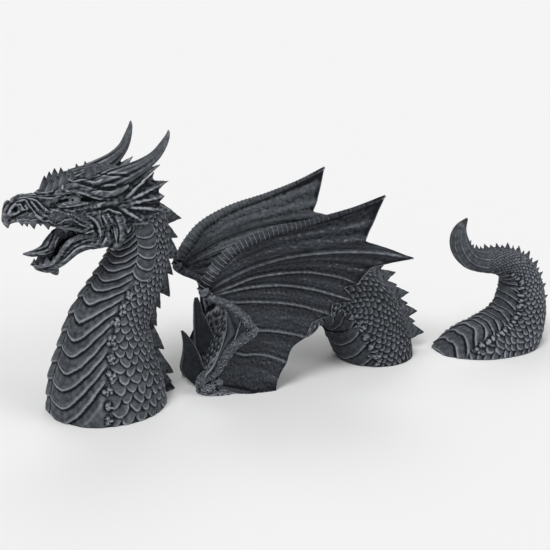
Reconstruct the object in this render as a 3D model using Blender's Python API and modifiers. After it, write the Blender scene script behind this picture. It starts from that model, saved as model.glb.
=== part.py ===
# Dragon statue in three castings, as if it swam through the lawn: head and neck,
# winged body, tail. Metres, +Z up, the ground at z = 0, the dragon faces -X.

import math

import bmesh
import bpy
import numpy as np
from mathutils import Matrix, Vector

# Driving sizes, in metres and degrees
NECK_HEIGHT = 0.356
BODY_HEIGHT = 0.266
TAIL_HEIGHT = 0.199
NECK_TO_BODY = 0.2700
BODY_TO_TAIL = 0.3025
NECK_SETBACK = -0.015
TAIL_SETBACK = -0.016
NECK_TURN = 8.0
BODY_TURN = -1.0
TAIL_TURN = 0.0
WING_SKIN = 0.0060
FRILL_SKIN = 0.0045

# Each casting is a figure drawn in millimetres at this height and made at its own
NECK_DRAWN = 356.0
BODY_DRAWN = 266.0
TAIL_DRAWN = 199.0

# Fineness of the carving and the facets each casting may keep
CLAY_GRAIN = 0.0014
NECK_FACETS = 4800
BODY_FACETS = 3600
TAIL_FACETS = 1400
BELOW_GROUND = 14.0
PLATE_STEP = 3.2

RESIN_COLOUR = (0.045, 0.050, 0.058, 1.0)
TAIL_COLOUR = (0.060, 0.066, 0.076, 1.0)
RESIN_ROUGHNESS = 0.62

# Neck: centre line from the ground up into the back of the skull (x, y, z, radius)
NECK_PATH = [(4, 0, -BELOW_GROUND, 76), (4, 0, 4, 75.5), (4, 0, 38, 71), (6.5, 0, 72, 61), (11.5, 0, 103, 53),
             (20, 0, 126, 46), (37, 0, 155, 41), (52, 0, 182, 38), (59, 1, 206, 36), (59, 2, 228, 35.5),
             (52, 3, 244, 34.5), (38, 2, 257, 34), (18, 0, 264, 32)]
NECK_PLATES = (25.0, 9.5)
NECK_SPINES = 13
NECK_SPINE_HEIGHTS = (32, 25)
HEAD_TURN = 8.0

# Upper skull from the back of the head to the nose (x, z, half width, half height)
SKULL = [(66, 262, 22, 26), (48, 268, 33, 36), (22, 274, 37, 40), (-4, 278, 35, 38), (-26, 279, 31, 34),
         (-44, 278, 26, 27), (-60, 277.5, 21, 19), (-80, 276.5, 18, 15), (-97, 275.5, 16, 15.5),
         (-107, 272, 13, 12.5), (-114, 267, 7, 8)]

# Lower jaw from its hinge to the chin (x, z, half width, half height)
JAW = [(18, 233, 30, 19), (-6, 228, 28, 14.5), (-26, 225, 25, 11.5), (-42, 221, 21, 10.5), (-53, 209, 17, 11),
       (-63, 200, 14, 9), (-76, 199, 10, 6), (-84, 201, 5, 3.5)]
MOUTH_DEPTH = 5.5

# Horns, brows, lips and the like: (x, side, z, radius) along each, right and left
HORN = [(-34, 18, 286, 4), (-14, 23, 294, 9), (8, 26, 299, 13), (28, 29, 305, 12.5), (49, 33, 313, 11),
        (66, 38, 324, 9), (76, 42, 337, 6.5), (82, 44.5, 349, 3.2), (83, 45, 356, 0.6)]
BROW = [(-68, 10, 281, 2), (-60, 15, 287, 4), (-52, 20, 293, 5.5), (-40, 26, 296, 6.5), (-24, 31, 291, 6),
        (-6, 35, 287, 6), (14, 36, 288, 5), (30, 34, 292, 2)]
MUZZLE = [(-106, 8, 269, 5), (-90, 13, 268, 9), (-66, 17, 265, 11), (-44, 21, 261, 12.5), (-20, 25, 257, 14),
          (2, 28, 254, 13), (18, 28, 254, 7)]
LIP = [(-108, 11, 265, 3), (-96, 16, 264.5, 4), (-76, 19, 260.5, 4.5), (-52, 24, 251.5, 4.5),
       (-30, 28, 245, 4.5), (-10, 31, 242, 4.5), (6, 31, 246, 3)]
JAW_SIDE = [(12, 24, 226, 9), (-8, 26, 227, 10), (-28, 22.5, 225, 8.5), (-43, 19, 218, 7.5),
            (-54, 15.5, 208.5, 6.5), (-63, 12, 202.5, 5.5), (-74, 8, 200.5, 3.5)]
JAW_RIM = [(2, 30, 234, 3), (-10, 30, 235.5, 4), (-24, 27, 235.5, 4), (-42, 22.5, 232.5, 3.6),
           (-52, 18.5, 224, 3.4), (-58, 16, 213, 3.5), (-68, 13, 205, 3), (-80, 9, 203, 2.4),
           (-88, 3, 203, 1.5)]
CHEEK = [(-10, 26, 264, 5), (4, 31, 260, 9), (14, 32, 248, 11), (15, 32, 234, 10), (11, 30, 222, 8),
         (6, 27, 214, 4)]
LOWER_LID = [(-64, 15, 274, 2), (-50, 21, 271, 3.5), (-36, 25, 270, 4.5), (-20, 29, 272, 5), (-4, 31, 275, 4)]
NOSTRIL_RIM = [(-90, 13, 264, 2), (-94, 15, 270, 3), (-100, 14, 279, 3.6), (-109, 9, 280, 3.6),
               (-115, 6, 271, 3)]
BEAK = [(-104, 277, 9), (-112, 272, 8), (-116, 264, 6), (-115, 254, 1.2)]
NOSE_HORN = [(-101, 279, 5), (-107, 285, 3.5), (-107, 291, 0.8)]
TONGUE = [(-10, 238, 9), (-36, 239, 9), (-51, 236, 8.5), (-61, 228, 8), (-71, 220, 6.5), (-85, 218, 4.5),
          (-99, 219.5, 1.2)]
CHIN_SPIKE = [(-62, 197, 6), (-58, 191, 3.5), (-54, 186, 0.8)]
EYE = (-38, 23.5, 281, 7.5)
SMALL_HORN = [(26, 22, 286, 3), (38, 24, 292, 6.5), (58, 28, 302, 5), (78, 33, 312, 0.8)]

# Thorns over the brow: where each stands (x, side), and its foot, tip and radius
CREST = [(-60, 7, 289, 313, 4), (-52, 9, 294, 316, 4), (-44, 11, 297, 320, 4.5), (-34, 13, 300, 319, 4.5),
         (-22, 15, 303, 319, 4), (-10, 17, 306, 323, 4), (2, 17, 308, 325, 4)]

# Teeth: where each stands (x, side) and its length
UPPER_TEETH = [(-103, 12, 6), (-98, 14, 7), (-90, 15, 10), (-82, 17, 5), (-73, 18, 9), (-62, 20, 5),
               (-52, 22, 8), (-40, 25, 5), (-28, 28, 5)]
LOWER_TEETH = [(-80, 8, 7), (-72, 10, 12), (-64, 13, 6), (-56, 16, 7), (-46, 20, 5), (-34, 24, 5)]

# Ear frill: its root and the tips of its ribs (x, side, z)
FRILL_ROOT = (14, 33, 268)
FRILL_TIPS = [(54, 42, 301), (84, 52, 296), (70, 53, 278), (64, 51, 262), (49, 48, 247), (24, 42, 236)]
FRILL_SCALLOP = 0.24

# Body: an arch from its rear foot over to its front foot (x, y, z, radius)
ARCH_PATH = [(139, 16, -BELOW_GROUND, 53), (139, 16, 3, 53), (133, 16, 22, 54), (123, 16, 43, 55),
             (111, 15, 67, 54), (96, 14, 88, 52), (64, 12, 106, 47), (20, 9, 105, 46), (-28, 5, 82, 47),
             (-64, 2, 48, 47), (-84, 0, 10, 46), (-90, 0, -BELOW_GROUND, 46)]
ARCH_PLATES = (17.0, 17.0)
ARCH_SPINES = 20
ARCH_SPINE_HEIGHTS = (28, 22)

# Wing: shoulder to elbow, elbow to wrist, then each finger outward (x, side, z)
UPPER_ARM = [(-133, 28, -BELOW_GROUND), (-139, 36, 17), (-123, 46, 36), (-106, 58, 67), (-79, 68, 92)]
FOREARM = [(-79, 68, 92), (-94, 66, 114), (-111, 63, 129), (-136, 60, 143), (-147, 60, 151)]
UPPER_ARM_RADII = (13, 11, 9, 8, 8)
FOREARM_RADII = (8, 8.5, 8, 8, 6)
FINGERS = [
    [(-147, 60, 152), (-127, 62, 181), (-103, 66, 204), (-60, 72, 222), (-8, 80, 233), (46, 90, 247),
     (91, 98, 263.5)],
    [(-138, 60, 149), (-119, 62, 161), (-80, 66, 177), (-30, 73, 188), (30, 83, 191), (85, 93, 187),
     (133, 101, 177)],
    [(-134, 60, 146), (-106, 61, 154), (-77, 62, 162), (-40, 62, 164), (0, 61, 161), (45, 60, 149),
     (73, 60, 136)],
    [(-135, 60, 143), (-110, 61, 147), (-77, 62, 150), (-35, 61, 147), (8, 60, 136), (40, 60, 124),
     (70, 60, 112)],
    [(-132, 60, 140), (-107, 62, 133), (-77, 63, 130), (-46, 62, 125), (-14, 61, 117), (12, 60, 107),
     (35, 60, 97)],
    [(-94, 66, 112), (-86, 67, 102), (-76, 68, 93), (-56, 67, 89), (-38, 66, 84), (-20, 64, 78),
     (-3, 62, 71)],
    [(-106, 58, 67), (-100, 58, 61), (-88, 59, 57), (-74, 60, 56), (-58, 61, 52), (-44, 61, 46),
     (-30, 61, 38)],
    [(-134, 37, 15), (-124, 42, 12), (-112, 47, 8), (-96, 52, 4), (-80, 57, 0), (-63, 62, -6),
     (-47, 65, -BELOW_GROUND)],
]
FINGER_RADII = [(6.5, 3), (4.5, 2.5), (4, 2), (4, 2), (4, 2), (4, 2), (4, 2), (4, 3)]

# Between each two fingers: how deep and where the trailing edge is notched, and the sag
NOTCHES = [(0.20, 0.75), (0.07, 0.5), (0.08, 0.5), (0.08, 0.5), (0.07, 0.5), (0.06, 0.5), (0.05, 0.5)]
PLEATS = [5, 6, 5, 4, 4, 4, 3]

# Two plates standing on the front of the body: foot and tip (x, z), and radius
FRONT_FINS = [((-136, 20), (-158, 80), 23), ((-111, 52), (-139, 124), 25)]

# Tail: from the ground up to the curled tip (x, y, z, radius)
TAIL_PATH = [(-80, 0, -42, 28), (-52, 0, -31, 40), (-16, 0, -18, 48), (20, 0, -4, 47.5), (47, 0, 17, 43.5),
             (61, 0, 43, 37), (64, 0, 67, 32.5), (62, 0, 88, 29), (56, 0, 105, 25), (40, 0, 121, 21.5),
             (14, 0, 130, 18), (-10, 0, 132, 16.5), (-28, 0, 138, 15), (-41, 0, 151, 14),
             (-48, 0, 168, 12), (-46, 0, 184, 8), (-36, 0, 198, 1.2)]
TAIL_WIDENING = 1.28
TAIL_PLATES = (17.0, 11.0)
TAIL_SPINES = 26
TAIL_SPINE_HEIGHTS = (17, 8)


def clear_scene():
    for old in list(bpy.data.objects):
        bpy.data.objects.remove(old, do_unlink=True)


def smooth_path(points, count):
    # Evenly spaced points on a smooth curve through the given ones
    given = np.array(points, float)
    ends = (2 * given[:1] - given[1:2], 2 * given[-1:] - given[-2:-1])
    p = np.vstack([ends[0], given, ends[1]])
    rows = []
    for i in range(1, len(p) - 2):
        for t in np.linspace(0, 1, 20, endpoint=False):
            a = 2 * p[i]
            b = (p[i + 1] - p[i - 1]) * t
            c = (2 * p[i - 1] - 5 * p[i] + 4 * p[i + 1] - p[i + 2]) * t ** 2
            d = (3 * p[i] - p[i - 1] - 3 * p[i + 1] + p[i + 2]) * t ** 3
            rows.append(0.5 * (a + b + c + d))
    rows = np.array(rows + [p[-2]])
    steps = np.linalg.norm(np.diff(rows[:, :-1], axis=0), axis=1)
    run = np.concatenate([[0.0], np.cumsum(steps)])
    even = np.linspace(0, run[-1], count)
    return np.column_stack([np.interp(even, run, column) for column in rows.T])


def add_loft(bm, rings):
    # A closed skin over rings of equal point counts, capped at both ends
    made = [[bm.verts.new(point) for point in ring] for ring in rings]
    sides = len(made[0])
    for low, high in zip(made, made[1:]):
        for k in range(sides):
            after = (k + 1) % sides
            bm.faces.new((low[k], low[after], high[after], high[k]))
    bm.faces.new(list(reversed(made[0])))
    bm.faces.new(made[-1])


def plate_edges(length, spacing):
    # Distances along the body of each belly plate's lower edge, from wide to narrow
    edges = [0.0]
    while edges[-1] < length:
        share = min(edges[-1] / length, 1.0)
        edges.append(edges[-1] + spacing[0] + (spacing[1] - spacing[0]) * share)
    return np.array(edges)


def plate_relief(run, angle, edges):
    # Height of the overlapping belly plates: angle is measured from the belly line
    lobes = 7.0 * math.cos(min(abs(abs(angle) - 0.32) / 0.9, 1.2) * math.pi)
    at = run + lobes
    which = int(np.clip(np.searchsorted(edges, at) - 1, 0, len(edges) - 2))
    share = (at - edges[which]) / (edges[which + 1] - edges[which])
    cover = max(0.0, min(1.0, (1.25 - abs(angle)) / 0.25))
    return cover * (1.0 + PLATE_STEP * (1.0 - min(max(share, 0.0), 1.0)))


def body_frames(path, count):
    # Centre, radius, forward and backward-facing directions along a body, and the run so far
    rows = smooth_path(path, count)
    forward = np.gradient(rows[:, :3], axis=0)
    forward /= np.linalg.norm(forward, axis=1)[:, None]
    back = np.column_stack([forward[:, 2], np.zeros(count), -forward[:, 0]])
    back /= np.linalg.norm(back, axis=1)[:, None]
    steps = np.linalg.norm(np.diff(rows[:, :3], axis=0), axis=1)
    return rows[:, :3], rows[:, 3], forward, back, np.concatenate([[0.0], np.cumsum(steps)])


def add_body(bm, path, spacing, rings, sides, widening=1.0):
    # A round body along a path, with plates under its belly; wider by widening at its foot
    centres, radii, forward, back, run = body_frames(path, rings)
    edges = plate_edges(run[-1], spacing)
    loops = []
    for i in range(rings):
        wide = 1.0 + (widening - 1.0) * (1 - i / (rings - 1)) ** 0.7
        across = np.cross(back[i], forward[i]) * wide
        loop = []
        for k in range(sides):
            angle = 2 * math.pi * k / sides
            relief = plate_relief(run[i], math.pi - angle, edges) * min(1.0, radii[i] / 20)
            reach = radii[i] + relief
            loop.append(centres[i] + back[i] * reach * math.cos(angle) + across * reach * math.sin(angle))
        loops.append(loop)
    add_loft(bm, loops)


def add_tube(points, name):
    # A tapering round rod as a curve, welded into a mesh: points are (x, y, z, radius)
    rows = smooth_path(points, max(8, 4 * len(points)))
    curve = bpy.data.curves.new(name, "CURVE")
    curve.dimensions = "3D"
    curve.bevel_depth = 1.0
    curve.bevel_resolution = 3
    curve.use_fill_caps = True
    spline = curve.splines.new("POLY")
    spline.points.add(len(rows) - 1)
    for point, row in zip(spline.points, rows):
        point.co = (row[0], row[1], row[2], 1.0)
        point.radius = row[3]
    rod = bpy.data.objects.new(name, curve)
    bpy.context.scene.collection.objects.link(rod)
    mesh = bpy.data.meshes.new_from_object(rod.evaluated_get(bpy.context.evaluated_depsgraph_get()))
    bpy.data.objects.remove(rod, do_unlink=True)
    return mesh


def join_mesh(bm, mesh):
    # Weld a loose mesh and take it into the clay
    piece = bmesh.new()
    piece.from_mesh(mesh)
    bmesh.ops.remove_doubles(piece, verts=piece.verts, dist=0.0001)
    bmesh.ops.recalc_face_normals(piece, faces=piece.faces)
    welded = bpy.data.meshes.new("welded")
    piece.to_mesh(welded)
    piece.free()
    bm.from_mesh(welded)
    bpy.data.meshes.remove(welded)
    bpy.data.meshes.remove(mesh)


def add_rod(bm, points):
    # On the middle plane: points are (x, z, radius)
    join_mesh(bm, add_tube([(x, 0.0, z, radius) for x, z, radius in points], "rod"))


def add_pair(bm, points):
    # One on each side: points are (x, side, z, radius)
    for side in (-1, 1):
        join_mesh(bm, add_tube([(x, side * y, z, radius) for x, y, z, radius in points], "pair"))


def add_ball(bm, centre, radii):
    place = Matrix.Translation(centre) @ Matrix.Diagonal((*radii, 1.0))
    bmesh.ops.create_uvsphere(bm, u_segments=20, v_segments=12, radius=1.0, matrix=place)


def add_cone(bm, foot, tip, radius, flat=1.0):
    # A thorn from foot to tip, flat times as wide across Y as along the body
    foot = Vector(foot)
    lean = Vector(tip) - foot
    turn = lean.to_track_quat("Z", "Y").to_matrix().to_4x4()
    place = Matrix.Translation(foot + lean / 2) @ turn @ Matrix.Diagonal((flat, 1.0, 1.0, 1.0))
    bmesh.ops.create_cone(bm, cap_ends=True, segments=8, radius1=radius, radius2=radius * 0.08,
                          depth=lean.length, matrix=place)


def add_spines(bm, path, count, first, last, heights, lean):
    # Flat thorns down the back; each leans along the path by a share of its height
    centres, radii, forward, back, run = body_frames(path, 240)
    for number in range(count):
        share = number / (count - 1)
        i = int(round((first + (last - first) * share) * 239))
        tall = heights[0] + (heights[1] - heights[0]) * share
        if number % 2:
            tall *= 0.8
        foot = centres[i] + back[i] * radii[i] * 0.8
        tip = centres[i] + back[i] * (radii[i] + tall) + forward[i] * lean * tall
        add_cone(bm, foot, tip, tall * 0.6, 0.5)


def height_along(rod, x):
    # How high a rod's centre line is at x
    line = sorted((point[0], point[2]) for point in rod)
    return float(np.interp(x, [point[0] for point in line], [point[1] for point in line]))


def oval_loops(stations, count, sides, hollow=0.0):
    # Ovals standing across X; hollow sinks the top of each, as a mouth floor does
    loops = []
    for x, z, wide, tall in smooth_path(stations, count):
        loop = []
        for k in range(sides):
            angle = 2 * math.pi * k / sides
            y = wide * math.cos(angle)
            up = tall * math.sin(angle)
            if hollow and up > 0:
                up = -hollow * (1 - (y / wide) ** 2) * min(1.0, wide / 14) + up * 0.3
            loop.append((x, y, z + up))
        loops.append(loop)
    return loops


def add_frills(bm, unit):
    # A scalloped fan behind each cheek, its ribs raised
    for side in (-1, 1):
        root = Vector((FRILL_ROOT[0], side * FRILL_ROOT[1], FRILL_ROOT[2]))
        rim = []
        for a, b in zip(FRILL_TIPS, FRILL_TIPS[1:]):
            for step in range(4):
                t = step / 4
                reach = 1 - FRILL_SCALLOP * math.sin(math.pi * t)
                point = Vector(a).lerp(Vector(b), t)
                rim.append(root + (Vector((point.x, side * point.y, point.z)) - root) * reach)
        last = FRILL_TIPS[-1]
        rim.append(Vector((last[0], side * last[1], last[2])))
        fan = bmesh.new()
        rows = []
        for share in (0.08, 0.4, 0.7, 1.0):
            rows.append([fan.verts.new(root + (point - root) * share) for point in rim])
        for low, high in zip(rows, rows[1:]):
            for k in range(len(low) - 1):
                fan.faces.new((low[k], low[k + 1], high[k + 1], high[k]))
        join_mesh(bm, thicken(fan, FRILL_SKIN / unit))
        for tip in FRILL_TIPS:
            rib = [(*root, 4.0), (*((root + Vector((tip[0], side * tip[1], tip[2]))) / 2), 3.0),
                   (tip[0], side * tip[1], tip[2], 1.0)]
            join_mesh(bm, add_tube(rib, "rib"))


def thicken(sheet, skin):
    # An open sheet made solid to both sides
    mesh = bpy.data.meshes.new("sheet")
    sheet.to_mesh(mesh)
    sheet.free()
    holder = bpy.data.objects.new("sheet", mesh)
    bpy.context.scene.collection.objects.link(holder)
    solidify = holder.modifiers.new("Solidify", "SOLIDIFY")
    solidify.thickness = skin
    solidify.offset = 0.0
    solid = bpy.data.meshes.new_from_object(holder.evaluated_get(bpy.context.evaluated_depsgraph_get()))
    bpy.data.objects.remove(holder, do_unlink=True)
    bpy.data.meshes.remove(mesh)
    return solid


def notch(share, depth, place):
    # How far the trailing edge falls short between two fingers, deepest at place
    if share < place:
        return depth * (share / place) ** 0.9
    return depth * ((1 - share) / (1 - place)) ** 0.9


def wing_sheet(side):
    # The membrane hung between the fingers, sagging inward between each two
    fingers = [smooth_path([(*point, 0) for point in finger], 25)[:, :3] for finger in FINGERS]
    along = np.arange(25) / 24
    columns = []
    for number, (upper, lower) in enumerate(zip(fingers, fingers[1:])):
        for step in range(8):
            share = step / 8
            reach = along * (1 - notch(share, *NOTCHES[number]))
            a = np.column_stack([np.interp(reach, along, column) for column in upper.T])
            b = np.column_stack([np.interp(reach, along, column) for column in lower.T])
            row = a + (b - a) * share
            row[:, 1] -= PLEATS[number] * math.sin(math.pi * share) * np.minimum(1.0, 2.5 * along)
            columns.append(row)
    columns.append(fingers[-1])
    sheet = bmesh.new()
    verts = [[sheet.verts.new((x, side * y, z)) for x, y, z in row] for row in columns]
    for low, high in zip(verts, verts[1:]):
        for k in range(len(low) - 1):
            sheet.faces.new((low[k], low[k + 1], high[k + 1], high[k]))
    return sheet


def add_wings(bm, unit):
    for side in (-1, 1):
        join_mesh(bm, thicken(wing_sheet(side), WING_SKIN / unit))
    for finger, (thick, thin) in zip(FINGERS, FINGER_RADII):
        radii = np.linspace(thick, thin, len(finger))
        add_pair(bm, [(*point, radius) for point, radius in zip(finger, radii)])
    for bone, radii in ((UPPER_ARM, UPPER_ARM_RADII), (FOREARM, FOREARM_RADII)):
        add_pair(bm, [(*point, radius) for point, radius in zip(bone, radii)])


def add_shoulders(bm):
    # The mass that carries each wing's arm and fills the space under its lower fingers
    for x, y, z, radii in ((-100, 30, 14, (32, 22, 44)), (-72, 36, 34, (36, 22, 36)),
                           (-90, 42, 62, (24, 18, 34)), (-98, 52, 104, (13, 10, 28)),
                           (-46, 40, 62, (34, 20, 34)), (-4, 40, 88, (34, 16, 30))):
        for side in (-1, 1):
            add_ball(bm, (x, side * y, z), radii)


def neck_clay(bm, unit):
    # The head is sculpted first, turned on the neck, and then joined by the neck
    add_loft(bm, oval_loops(SKULL, 40, 32))
    add_loft(bm, oval_loops(JAW, 32, 32, MOUTH_DEPTH))
    for form in (HORN, BROW, MUZZLE, LIP, JAW_SIDE, JAW_RIM, CHEEK, LOWER_LID, NOSTRIL_RIM, SMALL_HORN):
        add_pair(bm, form)
    for form in (BEAK, NOSE_HORN, TONGUE, CHIN_SPIKE):
        add_rod(bm, form)
    for side in (-1, 1):
        x, y, z, radius = EYE
        add_ball(bm, (x, side * y, z), (radius, radius * 0.7, radius * 0.8))
        for x, y, foot, tip, radius in CREST:
            add_cone(bm, (x, side * y, foot), (x - 3, side * (y + 2), tip), radius)
        for x, y, long in UPPER_TEETH:
            top = height_along(LIP, x)
            add_cone(bm, (x, side * y, top + 2), (x + 1, side * y, top - 3 - long * 0.7), 2.6)
        for x, y, long in LOWER_TEETH:
            top = height_along(JAW_RIM, x)
            add_cone(bm, (x, side * y, top - 2), (x - 1, side * y, top + 2 + long * 0.7), 2.4)
    add_frills(bm, unit)
    turn = Matrix.Rotation(math.radians(HEAD_TURN), 3, "Z")
    bmesh.ops.rotate(bm, cent=(0, 0, 0), matrix=turn, verts=bm.verts)
    add_body(bm, NECK_PATH, NECK_PLATES, 190, 72)
    add_spines(bm, NECK_PATH, NECK_SPINES, 0.07, 0.83, NECK_SPINE_HEIGHTS, -0.55)


def body_clay(bm, unit):
    add_body(bm, ARCH_PATH, ARCH_PLATES, 200, 64)
    add_spines(bm, ARCH_PATH, ARCH_SPINES, 0.08, 0.70, ARCH_SPINE_HEIGHTS, -0.55)
    add_shoulders(bm)
    add_wings(bm, unit)
    for foot, tip, radius in FRONT_FINS:
        add_cone(bm, (foot[0], 0, foot[1]), (tip[0], 0, tip[1]), radius, 0.28)


def tail_clay(bm, unit):
    add_body(bm, TAIL_PATH, TAIL_PLATES, 170, 56, TAIL_WIDENING)
    add_spines(bm, TAIL_PATH, TAIL_SPINES, 0.16, 0.90, TAIL_SPINE_HEIGHTS, 0.55)


def count_facets(casting):
    shape = casting.evaluated_get(bpy.context.evaluated_depsgraph_get()).to_mesh()
    return sum(len(face.vertices) - 2 for face in shape.polygons)


def add_ground_cutter(casting, cutters):
    # Everything under z = 0 comes off, which leaves the flat foot
    bpy.ops.mesh.primitive_cube_add(size=1.0, location=(0, 0, -0.5))
    ground = bpy.context.object
    ground.name = casting.name + "_ground"
    ground.data.transform(Matrix.Diagonal((1.5, 1.5, 1.0, 1.0)))
    ground.hide_render = True
    ground.display_type = "WIRE"
    for holder in list(ground.users_collection):
        holder.objects.unlink(ground)
    cutters.objects.link(ground)
    ground.parent = casting
    flat = casting.modifiers.new("Flat foot", "BOOLEAN")
    flat.operation = "DIFFERENCE"
    flat.object = ground


def model_clay(name, sculpt, height, drawn, facets, colour, parts, cutters):
    # Sculpt one casting, fuse its forms, thin its facets out and cut its foot flat
    unit = height / drawn
    bm = bmesh.new()
    sculpt(bm, unit)
    bmesh.ops.scale(bm, vec=(unit, unit, unit), verts=bm.verts)
    mesh = bpy.data.meshes.new(name)
    bm.to_mesh(mesh)
    bm.free()
    casting = bpy.data.objects.new(name, mesh)
    parts.objects.link(casting)
    casting.data.materials.append(resin(name + "_resin", colour))

    fuse = casting.modifiers.new("Fuse", "REMESH")
    fuse.mode = "VOXEL"
    fuse.voxel_size = CLAY_GRAIN
    fuse.use_smooth_shade = True
    soften = casting.modifiers.new("Soften", "SMOOTH")
    soften.factor = 0.4
    soften.iterations = 1
    thin = casting.modifiers.new("Thin", "DECIMATE")
    thin.ratio = facets / count_facets(casting)
    thin.use_collapse_triangulate = True
    add_ground_cutter(casting, cutters)
    return casting


def resin(name, colour):
    material = bpy.data.materials.new(name)
    material.use_nodes = True
    shader = material.node_tree.nodes["Principled BSDF"]
    shader.inputs["Base Color"].default_value = colour
    shader.inputs["Roughness"].default_value = RESIN_ROUGHNESS
    shader.inputs["Metallic"].default_value = 0.0
    return material


def centre_on_origin(castings):
    # Put the middle of the whole statue's footprint at the origin
    bpy.context.view_layer.update()
    graph = bpy.context.evaluated_depsgraph_get()
    corners = []
    for casting in castings:
        solid = casting.evaluated_get(graph)
        shape = solid.to_mesh()
        places = np.empty(len(shape.vertices) * 3)
        shape.vertices.foreach_get("co", places)
        places = places.reshape(-1, 3) @ np.array(casting.matrix_world.to_3x3()).T
        corners.append(places + np.array(casting.matrix_world.translation))
        solid.to_mesh_clear()
    corners = np.vstack(corners)
    middle = (corners.min(axis=0) + corners.max(axis=0)) / 2
    for casting in castings:
        casting.location.x -= middle[0]
        casting.location.y -= middle[1]


def build():
    clear_scene()
    parts = bpy.data.collections.new("dragon_statue")
    cutters = bpy.data.collections.new("cutters")
    bpy.context.scene.collection.children.link(parts)
    bpy.context.scene.collection.children.link(cutters)

    neck = model_clay("head_and_neck", neck_clay, NECK_HEIGHT, NECK_DRAWN, NECK_FACETS, RESIN_COLOUR,
                      parts, cutters)
    neck.location = (-NECK_TO_BODY, NECK_SETBACK, 0.0)
    neck.rotation_euler.z = math.radians(NECK_TURN)

    body = model_clay("winged_body", body_clay, BODY_HEIGHT, BODY_DRAWN, BODY_FACETS, RESIN_COLOUR,
                      parts, cutters)
    body.rotation_euler.z = math.radians(BODY_TURN)

    tail = model_clay("tail", tail_clay, TAIL_HEIGHT, TAIL_DRAWN, TAIL_FACETS, TAIL_COLOUR, parts, cutters)
    tail.location = (BODY_TO_TAIL, TAIL_SETBACK, 0.0)
    tail.rotation_euler.z = math.radians(TAIL_TURN)

    centre_on_origin((neck, body, tail))


build()
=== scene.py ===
# Garden dragon in three castings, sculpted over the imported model.
# Every form is drawn in millimetres about its own casting and placed in metres at the end.
import random
import math

import bmesh
import bpy
import numpy as np
from mathutils import Euler, Matrix, Vector, kdtree, noise
from mathutils.bvhtree import BVHTree


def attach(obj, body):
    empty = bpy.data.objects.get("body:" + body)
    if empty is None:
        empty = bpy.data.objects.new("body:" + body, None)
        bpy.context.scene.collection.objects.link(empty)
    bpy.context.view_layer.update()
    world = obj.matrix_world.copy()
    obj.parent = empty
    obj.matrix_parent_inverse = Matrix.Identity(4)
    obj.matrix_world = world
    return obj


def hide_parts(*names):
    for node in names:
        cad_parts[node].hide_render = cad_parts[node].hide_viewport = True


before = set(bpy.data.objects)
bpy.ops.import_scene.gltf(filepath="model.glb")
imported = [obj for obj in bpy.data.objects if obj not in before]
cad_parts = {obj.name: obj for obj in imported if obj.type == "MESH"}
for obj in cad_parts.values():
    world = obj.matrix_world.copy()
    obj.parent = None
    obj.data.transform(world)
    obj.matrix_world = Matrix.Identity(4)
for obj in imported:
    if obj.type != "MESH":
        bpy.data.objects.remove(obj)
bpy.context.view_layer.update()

millimetre = 0.001

# Where each casting stands on the floor (metres), how it is turned (degrees), its node and finish
castings = {
    "neck": {"node": "head_and_neck", "slot": "resin", "spot": (-0.28304, -0.01274), "turn": 8.0},
    "body": {"node": "winged_body", "slot": "resin", "spot": (-0.01304, 0.00226), "turn": -1.0},
    "tail": {"node": "tail", "slot": "resin_tail", "spot": (0.28946, -0.01374), "turn": 0.0},
}

# The photograph's camera: its place, how far it looks down and to the right, and its frame
photoView = {"place": (-0.567, -1.3117, 0.578), "down": 17.1, "right": 22.0, "frame": 550, "focal": 1090.0}


def castingPlace(name, turnMore=0.0):
    spot = castings[name]["spot"]
    turn = math.radians(castings[name]["turn"] + turnMore)
    return Matrix.Translation((*spot, 0.0)) @ Matrix.Rotation(turn, 4, "Z") @ Matrix.Scale(millimetre, 4)


# points of the face are drawn on the photograph enlarged this much from its left and top edge
faceZoom = {"left": 0.0, "top": 170.0, "zoom": 11.88}


def fromZoom(point):
    return faceZoom["left"] + point[0] / faceZoom["zoom"], faceZoom["top"] + point[1] / faceZoom["zoom"]


def photoRay(pixel, toLocal):
    # the line of sight through a pixel of the photograph, in a casting's own millimetres
    across, down = (value - photoView["frame"] / 2 for value in pixel)
    aim = Euler((math.radians(90 - photoView["down"]), 0.0, math.radians(-photoView["right"]))).to_matrix()
    sight = aim @ Vector((across / photoView["focal"], -down / photoView["focal"], -1.0))
    return toLocal @ Vector(photoView["place"]), (toLocal.to_3x3() @ sight).normalized()


def ontoSide(pixel, side, toLocal):
    # where the line of sight through a pixel meets the upright plane this far to one side
    place, sight = photoRay(pixel, toLocal)
    return np.array(place + sight * ((side - place.y) / sight.y))


# paths, sweeps and other shapes that the castings share

def smoothPath(points, count):
    # evenly spaced rows on a smooth curve through the given ones; the last column isn't a distance
    given = np.array(points, float)
    p = np.vstack([2 * given[:1] - given[1:2], given, 2 * given[-1:] - given[-2:-1]])
    rows = []
    for i in range(1, len(p) - 2):
        for t in np.linspace(0, 1, 20, endpoint=False):
            a = 2 * p[i]
            b = (p[i + 1] - p[i - 1]) * t
            c = (2 * p[i - 1] - 5 * p[i] + 4 * p[i + 1] - p[i + 2]) * t ** 2
            d = (3 * p[i] - p[i - 1] - 3 * p[i + 1] + p[i + 2]) * t ** 3
            rows.append(0.5 * (a + b + c + d))
    rows = np.array(rows + [p[-2]])
    steps = np.linalg.norm(np.diff(rows[:, :-1], axis=0), axis=1)
    run = np.concatenate([[0.0], np.cumsum(steps)])
    even = np.linspace(0, run[-1], count)
    return np.column_stack([np.interp(even, run, column) for column in rows.T])


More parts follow.
